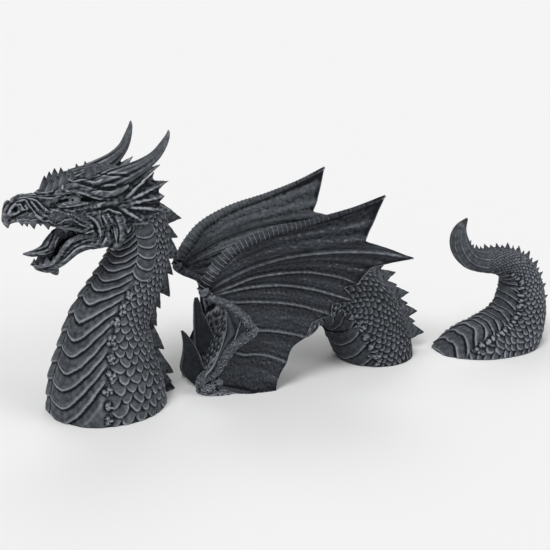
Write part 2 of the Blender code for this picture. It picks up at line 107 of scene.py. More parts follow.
def bodyFrames(path, count):
    # centre, radius, direction along the body, direction out of its back, and the run so far
    rows = smoothPath(path, count)
    forward = np.gradient(rows[:, :3], axis=0)
    forward /= np.linalg.norm(forward, axis=1)[:, None]
    back = np.column_stack([forward[:, 2], np.zeros(count), -forward[:, 0]])
    back /= np.linalg.norm(back, axis=1)[:, None]
    steps = np.linalg.norm(np.diff(rows[:, :3], axis=0), axis=1)
    return rows[:, :3], rows[:, 3], forward, back, np.concatenate([[0.0], np.cumsum(steps)])


def newMesh(name, points, edges, faces):
    mesh = bpy.data.meshes.new(name)
    mesh.from_pydata(points, edges, faces)
    mesh.update()
    return mesh


def gridFaces(rows, columns, closed):
    # the squares between rows of points; closed joins the last column to the first
    i, k = np.meshgrid(np.arange(rows - 1), np.arange(columns if closed else columns - 1), indexing="ij")
    after = (k + 1) % columns
    corners = (i * columns + k, i * columns + after, (i + 1) * columns + after, (i + 1) * columns + k)
    return np.stack(corners, axis=-1).reshape(-1, 4).tolist()


def gridMesh(name, rings):
    # a closed skin over rings (count, sides, 3), with a point at the middle of each end
    rings = np.asarray(rings, float)
    count, sides = rings.shape[:2]
    points = np.vstack([rings.reshape(-1, 3), rings[0].mean(axis=0), rings[-1].mean(axis=0)])
    faces = gridFaces(count, sides, True)
    low, high, last = count * sides, count * sides + 1, (count - 1) * sides
    for k in range(sides):
        after = (k + 1) % sides
        faces.append((low, after, k))
        faces.append((high, last + k, last + after))
    return newMesh(name, points.tolist(), [], faces)


def sheetMesh(grid, skin, name):
    # a thick sheet over a grid of points
    grid = np.asarray(grid, float)
    faces = gridFaces(*grid.shape[:2], False)
    holder = linked(name, newMesh(name, grid.reshape(-1, 3).tolist(), [], faces))
    thick = holder.modifiers.new("thick", "SOLIDIFY")
    thick.thickness = skin
    thick.offset = 0.0
    return evaluatedMesh(holder)


def tubeMesh(points, rings, sides, grooves=0, depth=0.0):
    # a tapering rod: points are (x, y, z, radius); grooves run along it and fade toward its tip
    rows = smoothPath(points, rings)
    centres, radii = rows[:, :3], np.maximum(rows[:, 3], 0.15)
    forward = np.gradient(centres, axis=0)
    forward /= np.linalg.norm(forward, axis=1)[:, None]
    side = np.cross(forward[0], (0.13, 0.31, 0.94))
    angle = np.linspace(0, 2 * math.pi, sides, endpoint=False)
    loops = []
    for i in range(rings):
        side = side - forward[i] * side.dot(forward[i])
        side /= np.linalg.norm(side)
        other = np.cross(forward[i], side)
        fade = max(0.0, 1 - 1.15 * i / rings)
        waves = np.cos(grooves * angle) + np.cos((grooves * 5 // 8) * angle + 1.7)
        reach = radii[i] * (1 + depth * fade * (waves + np.cos(3 * angle + 0.05 * i)) / 2)
        across, up = reach * np.cos(angle), reach * np.sin(angle)
        loops.append(centres[i] + np.outer(across, side) + np.outer(up, other))
    return gridMesh("rod", loops)


def linked(name, data):
    holder = bpy.data.objects.new(name, data)
    bpy.context.scene.collection.objects.link(holder)
    return holder


def bakeMesh(bm, name):
    mesh = bpy.data.meshes.new(name)
    bm.to_mesh(mesh)
    bm.free()
    return mesh


def reworked(mesh, change):
    bm = bmesh.new()
    bm.from_mesh(mesh)
    change(bm)
    bm.to_mesh(mesh)
    bm.free()
    return mesh


def closeSeams(bm):
    bmesh.ops.remove_doubles(bm, verts=bm.verts, dist=0.0001)
    bmesh.ops.recalc_face_normals(bm, faces=bm.faces)


def addMesh(bm, mesh):
    # takes a loose mesh into a bigger one, its faces outward
    bm.from_mesh(reworked(mesh, closeSeams))
    bpy.data.meshes.remove(mesh)


def mirrored(points, side):
    return [(point[0], side * point[1], *point[2:]) for point in points]


def addPair(bm, points, **shape):
    for side in (-1, 1):
        addMesh(bm, tubeMesh(mirrored(points, side), **shape))


def addMiddle(bm, points, **shape):
    addMesh(bm, tubeMesh([(x, 0.0, z, radius) for x, z, radius in points], **shape))


def addBalls(bm, balls):
    # each ball (x, side, z, radii) on both sides
    for side in (-1, 1):
        for x, y, z, radii in balls:
            place = Matrix.Translation((x, side * y, z)) @ Matrix.Diagonal((*radii, 1.0))
            bmesh.ops.create_uvsphere(bm, u_segments=32, v_segments=20, radius=1.0, matrix=place)


def cutFlat(bm):
    # everything under the floor comes off and each cut is closed, which leaves the flat foot
    geometry = list(bm.verts) + list(bm.edges) + list(bm.faces)
    bmesh.ops.bisect_plane(bm, geom=geometry, dist=0.0001, plane_co=(0, 0, 0.05), plane_no=(0, 0, 1),
                           clear_inner=True)
    rims = [edge for edge in bm.edges if edge.is_boundary]
    bmesh.ops.holes_fill(bm, edges=rims, sides=0)
    bmesh.ops.triangulate(bm, faces=[face for face in bm.faces if len(face.verts) > 4])


def fuse(bm, grain, name, rounds):
    # the loose forms become one skin, softened a little as clay is
    mesh = bakeMesh(bm, name)
    holder = linked(name, mesh)
    remesh = holder.modifiers.new("fuse", "REMESH")
    remesh.mode = "VOXEL"
    remesh.voxel_size = grain
    soften = holder.modifiers.new("soften", "SMOOTH")
    soften.factor = 0.5
    soften.iterations = rounds
    fused = evaluatedMesh(holder)
    bpy.data.meshes.remove(mesh)
    return fused


def evaluatedMesh(holder):
    # what the holder's modifiers make of it, as a plain mesh; the holder goes
    bpy.context.view_layer.update()
    graph = bpy.context.evaluated_depsgraph_get()
    mesh = bpy.data.meshes.new_from_object(holder.evaluated_get(graph))
    bpy.data.objects.remove(holder, do_unlink=True)
    return mesh


def nearTree(points):
    near = kdtree.KDTree(len(points))
    for index, point in enumerate(points):
        near.insert(point, index)
    near.balance()
    return near


def readPoints(mesh):
    points = np.empty(len(mesh.vertices) * 3)
    mesh.vertices.foreach_get("co", points)
    return points.reshape(-1, 3)


def readNormals(mesh):
    normals = np.empty(len(mesh.vertices) * 3)
    mesh.vertex_normals.foreach_get("vector", normals)
    return normals.reshape(-1, 3)


def writePoints(mesh, points):
    mesh.vertices.foreach_set("co", np.ascontiguousarray(points).ravel())
    mesh.update()


def writeValues(mesh, name, values):
    layer = mesh.attributes.get(name) or mesh.attributes.new(name, "FLOAT", "POINT")
    layer.data.foreach_set("value", np.ascontiguousarray(values, dtype=np.float32))


def neighbourMean(mesh, points, rounds):
    pairs = np.empty(len(mesh.edges) * 2, int)
    mesh.edges.foreach_get("vertices", pairs)
    a, b = pairs.reshape(-1, 2).T
    count = np.bincount(a, minlength=len(points)) + np.bincount(b, minlength=len(points))
    count = np.maximum(count, 1)[:, None]
    for _ in range(rounds):
        total = np.zeros_like(points)
        for axis in range(points.shape[1]):
            total[:, axis] = np.bincount(a, points[b, axis], len(points))
            total[:, axis] += np.bincount(b, points[a, axis], len(points))
        points = 0.35 * points + 0.65 * total / count
    return points


def markRaised(mesh, rounds=4, scale=0.42, broad=0.5, ease=0.75):
    # how far each point stands above what is round it, in millimetres over scale, from 0 to 1: fine
    # edges and, by the share broad, the swell of whole scales and folds; ease takes off what a whole
    # round bone or horn stands out, so that only its edges show
    points, normals = readPoints(mesh), readNormals(mesh)
    near = neighbourMean(mesh, points, rounds)
    proud = ((points - near) * normals).sum(axis=1)
    proud -= ease * neighbourMean(mesh, proud[:, None], rounds * 3)[:, 0]
    swell = ((near - neighbourMean(mesh, near, rounds * 5)) * normals).sum(axis=1)
    swell -= ease * neighbourMean(mesh, swell[:, None], rounds * 8)[:, 0]
    writeValues(mesh, "raised", np.clip(0.5 + 0.5 * (proud + broad * swell) / scale, 0, 1))


def roughen(mesh, height, grain, stretch=(1, 1, 1), seed=0.0, creased=False, share=1.0):
    # uneven clay: noise of this height and grain in millimetres along the normals, or sharp creases
    points = readPoints(mesh)
    scaled = points * np.array(stretch) / grain + seed
    lift = np.array([noise.noise(Vector(p)) for p in scaled.tolist()])
    if creased:
        lift = 0.3 - 2 * np.abs(lift)
    writePoints(mesh, points + readNormals(mesh) * (lift * height * share)[:, None])


def smoothStep(value):
    value = np.clip(value, 0, 1)
    return value * value * (3 - 2 * value)


def bulge(value, at, width):
    return np.exp(-((value - at) / width) ** 2)


# geometry node trees: thorns in a row, studs over a skin, ribs along a bone

def newTree(name, sockets):
    # a tree with these named inputs; returns it and what its inputs give
    tree = bpy.data.node_groups.new(name, "GeometryNodeTree")
    tree.interface.new_socket(name="Geometry", in_out="INPUT", socket_type="NodeSocketGeometry")
    for label, kind in sockets.items():
        tree.interface.new_socket(name=label, in_out="INPUT", socket_type="NodeSocket" + kind)
    tree.interface.new_socket(name="Geometry", in_out="OUTPUT", socket_type="NodeSocketGeometry")
    return tree, tree.nodes.new("NodeGroupInput").outputs


def addNode(tree, kind, inputs=None, **settings):
    node = tree.nodes.new(kind)
    for key, value in settings.items():
        setattr(node, key, value)
    for key, value in (inputs or {}).items():
        if isinstance(value, bpy.types.NodeSocket):
            tree.links.new(value, node.inputs[key])
        else:
            node.inputs[key].default_value = value
    return node


def calculate(tree, operation, first, second):
    return addNode(tree, "ShaderNodeMath", {0: first, 1: second}, operation=operation).outputs[0]


def times(tree, first, second):
    return calculate(tree, "MULTIPLY", first, second)


def vectorOf(tree, x, y, z):
    return addNode(tree, "ShaderNodeCombineXYZ", {"X": x, "Y": y, "Z": z}).outputs[0]


def randomFactor(tree, given):
    # between 1 - Uneven and 1 + Uneven for each instance
    least = calculate(tree, "SUBTRACT", 1.0, given["Uneven"])
    most = calculate(tree, "ADD", 1.0, given["Uneven"])
    node = addNode(tree, "FunctionNodeRandomValue", {2: least, 3: most, 8: given["Seed"]})
    return next(socket for socket in node.outputs if socket.enabled)


def namedValue(tree, name, kind="FLOAT"):
    node = addNode(tree, "GeometryNodeInputNamedAttribute", {"Name": name}, data_type=kind)
    return node.outputs["Attribute"]


def turnTo(tree, up, along):
    return addNode(tree, "FunctionNodeAxesToRotation", {"Primary Axis": up, "Secondary Axis": along},
                   primary_axis="Z", secondary_axis="X").outputs[0]


def evenPoints(tree, path, count):
    # the path as a curve, and this many points evenly along it
    curve = addNode(tree, "GeometryNodeMeshToCurve", {0: path}).outputs[0]
    return curve, addNode(tree, "GeometryNodeResampleCurve", {"Curve": curve, "Count": count}).outputs[0]


def circleCurve(tree, points, radius):
    circle = addNode(tree, "GeometryNodeCurvePrimitiveCircle", {"Resolution": points, "Radius": radius})
    return circle.outputs[0]


def plantOn(tree, points, shape, turn, size):
    return addNode(tree, "GeometryNodeInstanceOnPoints",
                   {"Points": points, "Instance": shape, "Rotation": turn, "Scale": size}).outputs[0]


def closeTree(tree, given, geometry):
    real = addNode(tree, "GeometryNodeRealizeInstances", {0: geometry})
    smooth = addNode(tree, "GeometryNodeSetShadeSmooth", {0: real.outputs[0], "Shade Smooth": True})
    finish = addNode(tree, "GeometryNodeSetMaterial", {0: smooth.outputs[0], "Material": given["Material"]})
    addNode(tree, "NodeGroupOutput", {0: finish.outputs[0]})
    return tree


def thornTree(spread):
    # thorns grow from each point along its "reach"; spread puts Count of them evenly along the path
    tree, given = newTree("thorns", {"Count": "Int", "Width": "Float", "Flatness": "Float",
                                     "Every second": "Float", "Uneven": "Float", "Curl": "Float",
                                     "Seed": "Int", "Material": "Material"})
    points = given["Geometry"]
    if spread:
        curve, points = evenPoints(tree, points, given["Count"])
    cone = addNode(tree, "GeometryNodeMeshCone", {"Vertices": 18, "Side Segments": 12, "Radius Top": 0.03,
                                                  "Radius Bottom": 1.0, "Depth": 1.0})
    place = addNode(tree, "GeometryNodeInputPosition").outputs[0]
    rise = addNode(tree, "ShaderNodeSeparateXYZ", {0: place}).outputs["Z"]
    bend = vectorOf(tree, times(tree, times(tree, rise, rise), given["Curl"]), 0.0, 0.0)
    bent = addNode(tree, "GeometryNodeSetPosition", {0: cone.outputs["Mesh"], "Offset": bend})

    reach = namedValue(tree, "reach", "FLOAT_VECTOR")
    turn = turnTo(tree, reach, namedValue(tree, "along", "FLOAT_VECTOR"))
    length = addNode(tree, "ShaderNodeVectorMath", {0: reach}, operation="LENGTH").outputs["Value"]
    odd = calculate(tree, "MODULO", addNode(tree, "GeometryNodeInputIndex").outputs[0], 2.0)
    lost = calculate(tree, "SUBTRACT", 1.0, given["Every second"])
    kept = calculate(tree, "SUBTRACT", 1.0, times(tree, odd, lost))
    tall = times(tree, times(tree, length, kept), randomFactor(tree, given))
    deep = times(tree, tall, given["Width"])
    size = vectorOf(tree, deep, times(tree, deep, given["Flatness"]), tall)
    return closeTree(tree, given, plantOn(tree, points, bent.outputs[0], turn, size))


def studTree():
    # low warts scattered where the skin's "studs" value is high, no two closer than Spacing
    tree, given = newTree("studs", {"Spacing": "Float", "Density": "Float", "Size": "Float",
                                    "Uneven": "Float", "Flatness": "Float", "Seed": "Int",
                                    "Material": "Material"})
    scatter = addNode(tree, "GeometryNodeDistributePointsOnFaces",
                      {"Mesh": given["Geometry"], "Distance Min": given["Spacing"],
                       "Density Max": given["Density"], "Density Factor": namedValue(tree, "studs"),
                       "Seed": given["Seed"]}, distribute_method="POISSON").outputs
    ball = addNode(tree, "GeometryNodeMeshUVSphere", {"Segments": 8, "Rings": 5, "Radius": 1.0})
    wide = times(tree, given["Size"], randomFactor(tree, given))
    size = vectorOf(tree, wide, wide, times(tree, wide, given["Flatness"]))
    plant = plantOn(tree, scatter["Points"], ball.outputs["Mesh"], scatter["Rotation"], size)
    return closeTree(tree, given, plant)


def boneTree():
    # a bone swept along a path at its "girth", with Ribs raised round it
    tree, given = newTree("ribbedBone", {"Ribs": "Int", "Rib height": "Float", "Rib width": "Float",
                                         "Material": "Material"})
    curve, even = evenPoints(tree, given["Geometry"], given["Ribs"])
    girth = namedValue(tree, "girth")
    shaft, hoop = circleCurve(tree, 16, 1.0), circleCurve(tree, 14, 1.0)
    bead = circleCurve(tree, 6, given["Rib height"])
    bone = addNode(tree, "GeometryNodeCurveToMesh", {"Curve": curve, "Profile Curve": shaft, "Scale": girth,
                                                     "Fill Caps": True})
    ring = addNode(tree, "GeometryNodeCurveToMesh", {"Curve": hoop, "Profile Curve": bead})
    stretch = vectorOf(tree, 1.0, 1.0, given["Rib width"])
    rib = addNode(tree, "GeometryNodeTransform", {0: ring.outputs[0], "Scale": stretch})
    turn = turnTo(tree, addNode(tree, "GeometryNodeInputTangent").outputs[0], (0.0, 1.0, 0.0))
    plant = plantOn(tree, even, rib.outputs[0], turn, vectorOf(tree, girth, girth, girth))
    both = addNode(tree, "GeometryNodeJoinGeometry")
    tree.links.new(bone.outputs[0], both.inputs[0])
    tree.links.new(plant, both.inputs[0])
    return closeTree(tree, given, both.outputs[0])


def growMesh(name, mesh, tree, values):
    # runs a tree on a mesh and returns what it makes as a plain mesh
    holder = linked(name, mesh)
    grow = holder.modifiers.new(name, "NODES")
    grow.node_group = tree
    sockets = {item.name: item.identifier for item in tree.interface.items_tree if item.in_out == "INPUT"}
    for label, value in values.items():
        grow[sockets[label]] = value
    grown = evaluatedMesh(holder)
    if "raised" in grown.attributes:
        grown.attributes.remove(grown.attributes["raised"])
    return grown


def pathMesh(points, vectors=None, girths=None, joined=True):
    # points with edges between them, and what a tree reads at each
    edges = [(k, k + 1) for k in range(len(points) - 1)] if joined else []
    mesh = newMesh("path", points.tolist(), edges, [])
    for name, rows in (vectors or {}).items():
        layer = mesh.attributes.new(name, "FLOAT_VECTOR", "POINT")
        layer.data.foreach_set("vector", np.asarray(rows, dtype=np.float32).ravel())
    if girths is not None:
        writeValues(mesh, "girth", girths)
    return mesh


# the resin: dark stone grey, its high edges brushed paler, and its hollows painted near black as painted
# shade

resinLook = {
    # from the hollows to the sharpest edges; the hollow colour is painted shade, the brushed and edge colours
    # are the dry-brushed paint
    "hollow": (0.006, 0.007, 0.009), "base": (0.049, 0.054, 0.062), "worn": (0.096, 0.104, 0.116),
    "brushed": (0.150, 0.162, 0.180), "edge": (0.28, 0.30, 0.33),
    "tones": {"base": 0.45, "worn": 0.60, "brushed": 0.78}, "hollowAt": 0.24, "edgeAt": 0.97,
    "mottleScale": 24.0, "brushScale": 150.0, "grainScale": 700.0, "patchy": 0.30, "grainy": 0.40,
    "clouds": (0.78, 1.2), "roughness": (0.55, 0.80), "pitScale": 520.0, "pitDepth": 0.7, "bump": 0.55,
    "bumpHeight": 0.0006, "gloss": 0.10,
}


def noiseValue(tree, place, scale, detail, roughness):
    inputs = {"Vector": place, "Scale": scale, "Detail": detail, "Roughness": roughness}
    return addNode(tree, "ShaderNodeTexNoise", inputs).outputs["Fac"]


def spreadValue(tree, value, limits):
    # the middle of a noise spread between two limits
    inputs = {"Value": value, "From Min": 0.3, "From Max": 0.7, "To Min": limits[0], "To Max": limits[1]}
    return addNode(tree, "ShaderNodeMapRange", inputs).outputs["Result"]


def noiseShare(tree, value, share):
    # noise about zero, by its share in the tone
    return times(tree, calculate(tree, "SUBTRACT", value, 0.5), share)


def stoneResin(name, **changes):
    # the tone follows how far the skin stands out, broken up by noise as dry-brushed paint is: the raised
    # parts are brushed paler, and the low parts darken to near black as painted shade
    look = dict(resinLook, **changes)
    material = bpy.data.materials.new(name)
    material.use_nodes = True
    tree = material.node_tree
    shader = tree.nodes["Principled BSDF"]
    place = addNode(tree, "ShaderNodeTexCoord").outputs["Object"]
    mottle = noiseValue(tree, place, look["mottleScale"], 4.0, 0.6)
    brush = noiseValue(tree, place, look["brushScale"], 3.0, 0.7)
    grain = noiseValue(tree, place, look["grainScale"], 2.0, 0.65)
    raised = addNode(tree, "ShaderNodeAttribute", attribute_name="raised").outputs["Fac"]
    patchy = noiseShare(tree, brush, look["patchy"])
    uneven = calculate(tree, "ADD", patchy, noiseShare(tree, grain, look["grainy"]))
    tone = addNode(tree, "ShaderNodeValToRGB", {"Fac": calculate(tree, "ADD", raised, uneven)})
    first, last = tone.color_ramp.elements
    # up to the first stop the colour is the near-black painted shade of the hollows
    first.position, first.color = look["hollowAt"], (*look["hollow"], 1)
    last.position, last.color = look["edgeAt"], (*look["edge"], 1)
    for tint, spot in look["tones"].items():
        tone.color_ramp.elements.new(spot).color = (*look[tint], 1)
    clouded = {0: tone.outputs["Color"], "Scale": spreadValue(tree, mottle, look["clouds"])}
    colour = addNode(tree, "ShaderNodeVectorMath", clouded, operation="SCALE")
    tree.links.new(colour.outputs["Vector"], shader.inputs["Base Color"])
    tree.links.new(spreadValue(tree, brush, look["roughness"]), shader.inputs["Roughness"])
    pits = addNode(tree, "ShaderNodeTexVoronoi", {"Vector": place, "Scale": look["pitScale"]})
    pitted = times(tree, pits.outputs["Distance"], look["pitDepth"])
    bump = addNode(tree, "ShaderNodeBump", {"Strength": look["bump"], "Distance": look["bumpHeight"],
                                            "Height": calculate(tree, "ADD", grain, pitted)})
    tree.links.new(bump.outputs["Normal"], shader.inputs["Normal"])
    shader.inputs["Specular IOR Level"].default_value = look["gloss"]
    return material


resin = stoneResin("darkStoneResin")
# a darker copy for the body arch, its arms and front leaves: painted shade under the wings
shadedArchResin = stoneResin("shadedArchStoneResin", base=(0.032, 0.036, 0.042), worn=(0.060, 0.066, 0.075),
                       brushed=(0.115, 0.125, 0.140), edge=(0.22, 0.24, 0.265))
# a copy for the head with a darker base and more of its hollows near black, painted shade, and a paler edge,
# painted highlight
shadeAndHighlightHeadResin = stoneResin("shadeAndHighlightHeadStoneResin", base=(0.032, 0.036, 0.042), worn=(0.074, 0.081, 0.091),
                       edge=(0.30, 0.32, 0.35), hollowAt=0.31)
# a paler copy for the far wing: painted light
litFarWingResin = stoneResin("litFarWingStoneResin", base=(0.062, 0.069, 0.077), worn=(0.095, 0.104, 0.115),
                      grainScale=480.0, pitScale=360.0, grainy=0.35)
# a darker copy for the near wing and the shoulders: painted shade
shadedWingResin = stoneResin("shadedWingStoneResin", base=(0.028, 0.031, 0.037), worn=(0.050, 0.055, 0.063),
                       grainScale=480.0, pitScale=360.0, patchy=0.22, grainy=0.24)
# a paler copy for the tail: painted light
litTailResin = stoneResin("litPaleStoneResin", base=(0.046, 0.051, 0.059), worn=(0.086, 0.094, 0.106),
                       brushed=(0.165, 0.180, 0.200), edge=(0.27, 0.29, 0.32))
eyeResin = stoneResin("eyeStoneResin", base=(0.15, 0.16, 0.17), worn=(0.25, 0.26, 0.275),
                      patchy=0.1, grainy=0.1)


def finishPiece(name, mesh, casting, material, turnMore=0.0, rounds=4, scale=0.42, broad=0.5):
    if "raised" not in mesh.attributes:
        markRaised(mesh, rounds, scale, broad)
    mesh.transform(castingPlace(casting, turnMore))
    mesh.shade_smooth()
    mesh.materials.clear()
    mesh.materials.append(material)
    mesh.name = name
    piece = linked(name, mesh)
    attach(piece, "root")
    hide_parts(castings[casting]["node"])
    print("made", name, len(mesh.polygons), "faces")


# the hide of neck, body and tail: belly plates, warts beside them, scales over the rest

def plateEdges(length, spacing):
    edges = [0.0]
    while edges[-1] < length:
        share = min(edges[-1] / length, 1.0)
        edges.append(edges[-1] + spacing[0] + (spacing[1] - spacing[0]) * share)
    return np.array(edges)


def wobble(run, aside):
    # a hand's unevenness, about one each way
    waves = np.sin(run / 17 + 4 * aside) + np.sin(run / 7.3 - 6 * aside + 1.3) + np.sin(run / 4.1 + 9 * aside)
    return waves / 2


def plateHeights(run, aside, reach, radius, edges, look):
    # each plate's lower edge hangs in two lobes with a notch between, and stands over the next
    lobeAt, lobe = look["lobeAt"] * reach, look["lobe"]
    beyond = np.clip((aside - lobeAt) / (reach - lobeAt), 0, 2) ** 1.6
    drop = np.where(aside < lobeAt, lobe * (1 - 0.8 * np.clip(1 - aside / lobeAt, 0, 1) ** 1.5),
                    lobe - look["sweep"] * beyond)
    at = run + drop * radius / 62 + 0.8 * wobble(run, aside)
    which = np.clip(np.searchsorted(edges, at) - 1, 0, len(edges) - 2)
    gap = edges[which + 1] - edges[which]
    share = np.clip((at - edges[which]) / gap, 0, 1)
    inMm = share * gap
    rim = 0.6 * bulge(inMm, 1.3, 1.1) + 0.3 * bulge(inMm, 4.8, 1.1)
    middle = bulge(aside, 0, 0.035) * look["middle"]
    # the plates lie flatter down the very front
    step = look["plateStep"] * (0.5 + 0.5 * smoothStep(aside / 0.45))
    return 1.0 + step * (1 - share ** 0.75) + rim - middle


def scaleHeights(row, column, look):
    # staggered scales with round free edges, each lying over the one below it
    height = np.zeros(row.shape)
    done = np.zeros(row.shape, bool)
    for up in (2, 1, 0, -1):
        level = np.floor(row) + up
        off = column - 0.5 * (level % 2)
        off = off - np.round(off)
        edge = level - 1.02 * np.sqrt(np.clip(1 - (2.0 * off) ** 2, 0, 1))
        share = row - edge
        inside = (share > 0) & ~done
        body = look["scaleStep"] * np.clip(1 - share / 1.9, 0, 1) + 2.6 * (0.25 - off ** 2)
        rim = 0.25 * bulge(share, 0.12, 0.1)
        height = np.where(inside, body + rim, height)
        done |= inside
    return height


def cascadeHeights(run, aside, radius, look):
    # the few broad plates that hang in a row under the ear
    height = np.full(run.shape, -1.0)
    for edge in look["cascade"]:
        off = (aside - look["cascadeAt"]) * radius / look["cascadeHalf"]
        rim = edge + look["cascadeDrop"] * (1 - np.sqrt(np.clip(1 - off ** 2, 0, 1)))
        inside = (np.abs(off) < 1) & (run > rim) & (run < edge + look["cascadeLong"])
        share = run - rim
        body = 2.6 - share * 0.05 + 0.7 * bulge(share, 1.2, 1.1)
        height = np.where(inside, np.clip(body, 0.4, 4), height)
    return height


def fromBelly(angle):
    # how far round from the belly's middle line, 0 to pi
    return np.abs((math.pi - angle + math.pi) % (2 * math.pi) - math.pi)


# a wart rises from the first height, and what stands above the second counts as wart
wartFoot, wartEdge = 1.6, 1.8


def clumpHeights(run, reach, radii, aside, look):
    # knots of warts in a row just outside the belly plates
    clumps, draw = look["clumps"], random.Random(look["clumps"]["seed"])
    height = np.zeros((len(run), len(aside)))
    for middle in np.arange(clumps["from"], clumps["to"], clumps["spacing"]):
        for wart in range(clumps["warts"]):
            at = middle + draw.gauss(0, clumps["spread"])
            off = draw.gauss(0, clumps["spread"]) + clumps["off"]
            size = clumps["size"] * draw.uniform(0.7, 1.3)
            ring = int(np.searchsorted(run, at).clip(0, len(run) - 1))
            part = slice(max(0, ring - 8), ring + 9)
            down = run[part, None] - at
            side = (aside[None, :] - reach[ring]) * radii[ring] - off
            dome = clumps["height"] * np.exp(-((down ** 2 + side ** 2) / size ** 2) ** 1.3) + wartFoot
            height[part] = np.maximum(height[part], np.where(dome > wartEdge, dome, 0.0))
    return height


def hideMesh(name, path, look):
    # the heights are worked out three times as finely as the rings and then averaged
    rings, sides = look["rings"], look["sides"]
    centres, radii, forward, back, run = bodyFrames(path, rings)
    thirds = (-1 / 3, 0, 1 / 3)
    whole = np.arange(rings)
    fine = np.add.outer(whole, thirds).ravel()
    runs = np.interp(fine, whole, run)[:, None]
    girths = np.interp(fine, whole, radii)[:, None]
    aside = fromBelly(2 * math.pi * np.add.outer(np.arange(sides), thirds).ravel() / sides)[None, :]
    runs, girths, aside = np.broadcast_arrays(runs, girths, aside)

    reach = np.interp(run / run[-1], *look["bellyReach"])
    reaches = np.interp(fine, whole, reach)[:, None]
    across = (math.pi - reach.mean()) / look["columns"]
    scaleLong = look["scaleAspect"] * across * np.maximum(radii, look["leastRadius"])
    lengths = np.diff(run, prepend=0.0) / scaleLong
    row = np.interp(fine, whole, np.cumsum(lengths))[:, None] + np.zeros_like(aside)
    start = reaches + look.get("band", 0.0)
    share = np.clip((aside - start) / (math.pi - start), 0, 1)
    column = look["columns"] * share ** 1.15
    row, column = (row + 0.16 * np.sin(2.1 * column + 0.7 * row) + 0.12 * np.sin(0.9 * row - 3.3 * column),
                   column + 0.10 * np.sin(1.3 * row + column) + 0.06 * np.sin(2.9 * row - 1.7 * column))
    wide = np.minimum(1.0, girths / 24)

    edges = plateEdges(run[-1], look["plates"])
    plates = plateHeights(runs, aside, reaches, girths, edges, look) * wide
    scales = scaleHeights(row, column, look) * np.minimum(1.0, girths / 30)
    if "band" in look:
        scales = wartFoot + (scales - wartFoot) * smoothStep((aside - start) / 0.05 + 0.5)
    belly = smoothStep((reaches - aside) / 0.14 + 0.5)
    height = plates * belly + scales * (1 - belly)
    if "cascade" in look:
        hanging = cascadeHeights(runs, aside, girths, look)
        height = np.where(hanging > 0, np.maximum(height * 0.3, hanging), height)
    if "leafTip" in look:
        leaf = smoothStep((runs / run[-1] - look["leafTip"]) / 0.06)
        height = height * (1 - leaf) + leaf * 3.0 * (1 - np.abs(np.sin(4.6 * aside + 0.5))) ** 2 * wide
    height = height.reshape(rings, 3, sides, 3).mean(axis=(1, 3))
    angle = 2 * math.pi * np.arange(sides) / sides
    bumps = clumpHeights(run, reach, radii, fromBelly(angle), look)
    height = np.maximum(height, bumps)

    widening = 1.0 + (look.get("widening", 1.0) - 1.0) * (1 - whole / (rings - 1)) ** 0.7
    sideways = np.cross(back, forward) * widening[:, None]
    reach = radii[:, None] + height
    loops = centres[:, None, :] + back[:, None, :] * (reach * np.cos(angle))[:, :, None]
    loops = loops + sideways[:, None, :] * (reach * np.sin(angle))[:, :, None]
    mesh = gridMesh(name, loops)
    writeValues(mesh, "studs", np.concatenate([(bumps > wartEdge).astype(float).ravel(), [0, 0]]))
    return mesh


def cutHide(mesh):
    # the hide is marked before the floor cuts it, so that no dark ring shows at the cut
    reworked(mesh, lambda bm: bmesh.ops.recalc_face_normals(bm, faces=bm.faces))
    roughen(mesh, 0.35, 7.0)
    markRaised(mesh, scale=0.5, broad=0.32)
    return reworked(mesh, cutFlat)


def spineRow(name, path, look, material):
    count = 240
    centres, radii, forward, back, run = bodyFrames(path, count)
    first, last = (int(round(share * (count - 1))) for share in look["spread"])
    part = slice(first, last + 1)
    tall = np.linspace(look["heights"][0], look["heights"][1], last + 1 - first)[:, None]
    foot = centres[part] + back[part] * radii[part, None] * 0.8
    reach = back[part] * (0.2 * radii[part, None] + tall) + forward[part] * look["lean"] * tall
    path = pathMesh(foot, {"reach": reach, "along": forward[part]})
    values = {"Count": look["count"], "Width": 0.56, "Flatness": 0.5, "Every second": 0.8, "Uneven": 0.06,
              "Curl": 0.22 * np.sign(look["lean"]), "Seed": 3, "Material": material}
    spines = growMesh(name, path, thornTree(True), values)
    roughen(spines, 0.9, 5.0, (1.6, 1.6, 0.6), seed=3.0, creased=True)
    return spines


def keepAboveFloor(mesh):
    return reworked(mesh, cutFlat) if readPoints(mesh)[:, 2].min() < 0 else mesh


def dressCasting(casting, path, look, spines, skin, thorny):
    # its hide, the warts on it and the thorns down its back
    hide = cutHide(hideMesh(casting + "Hide", path, look))
    if "warty" in look:
        grown = growMesh(casting + "Warts", hide.copy(), studTree(), warts)
    finishPiece(casting + "Hide", hide, casting, skin)
    if "warty" in look:
        finishPiece(casting + "Warts", keepAboveFloor(grown), casting, resin, rounds=2, scale=0.25)
    grown = spineRow(casting + "Spines", path, spines, thorny)
    finishPiece(casting + "Spines", keepAboveFloor(grown), casting, thorny, rounds=2, scale=1.1, broad=0.0)


warts = {"Spacing": 1.8, "Density": 0.20, "Size": 1.1, "Uneven": 0.4, "Flatness": 0.5, "Seed": 5,
         "Material": resin}

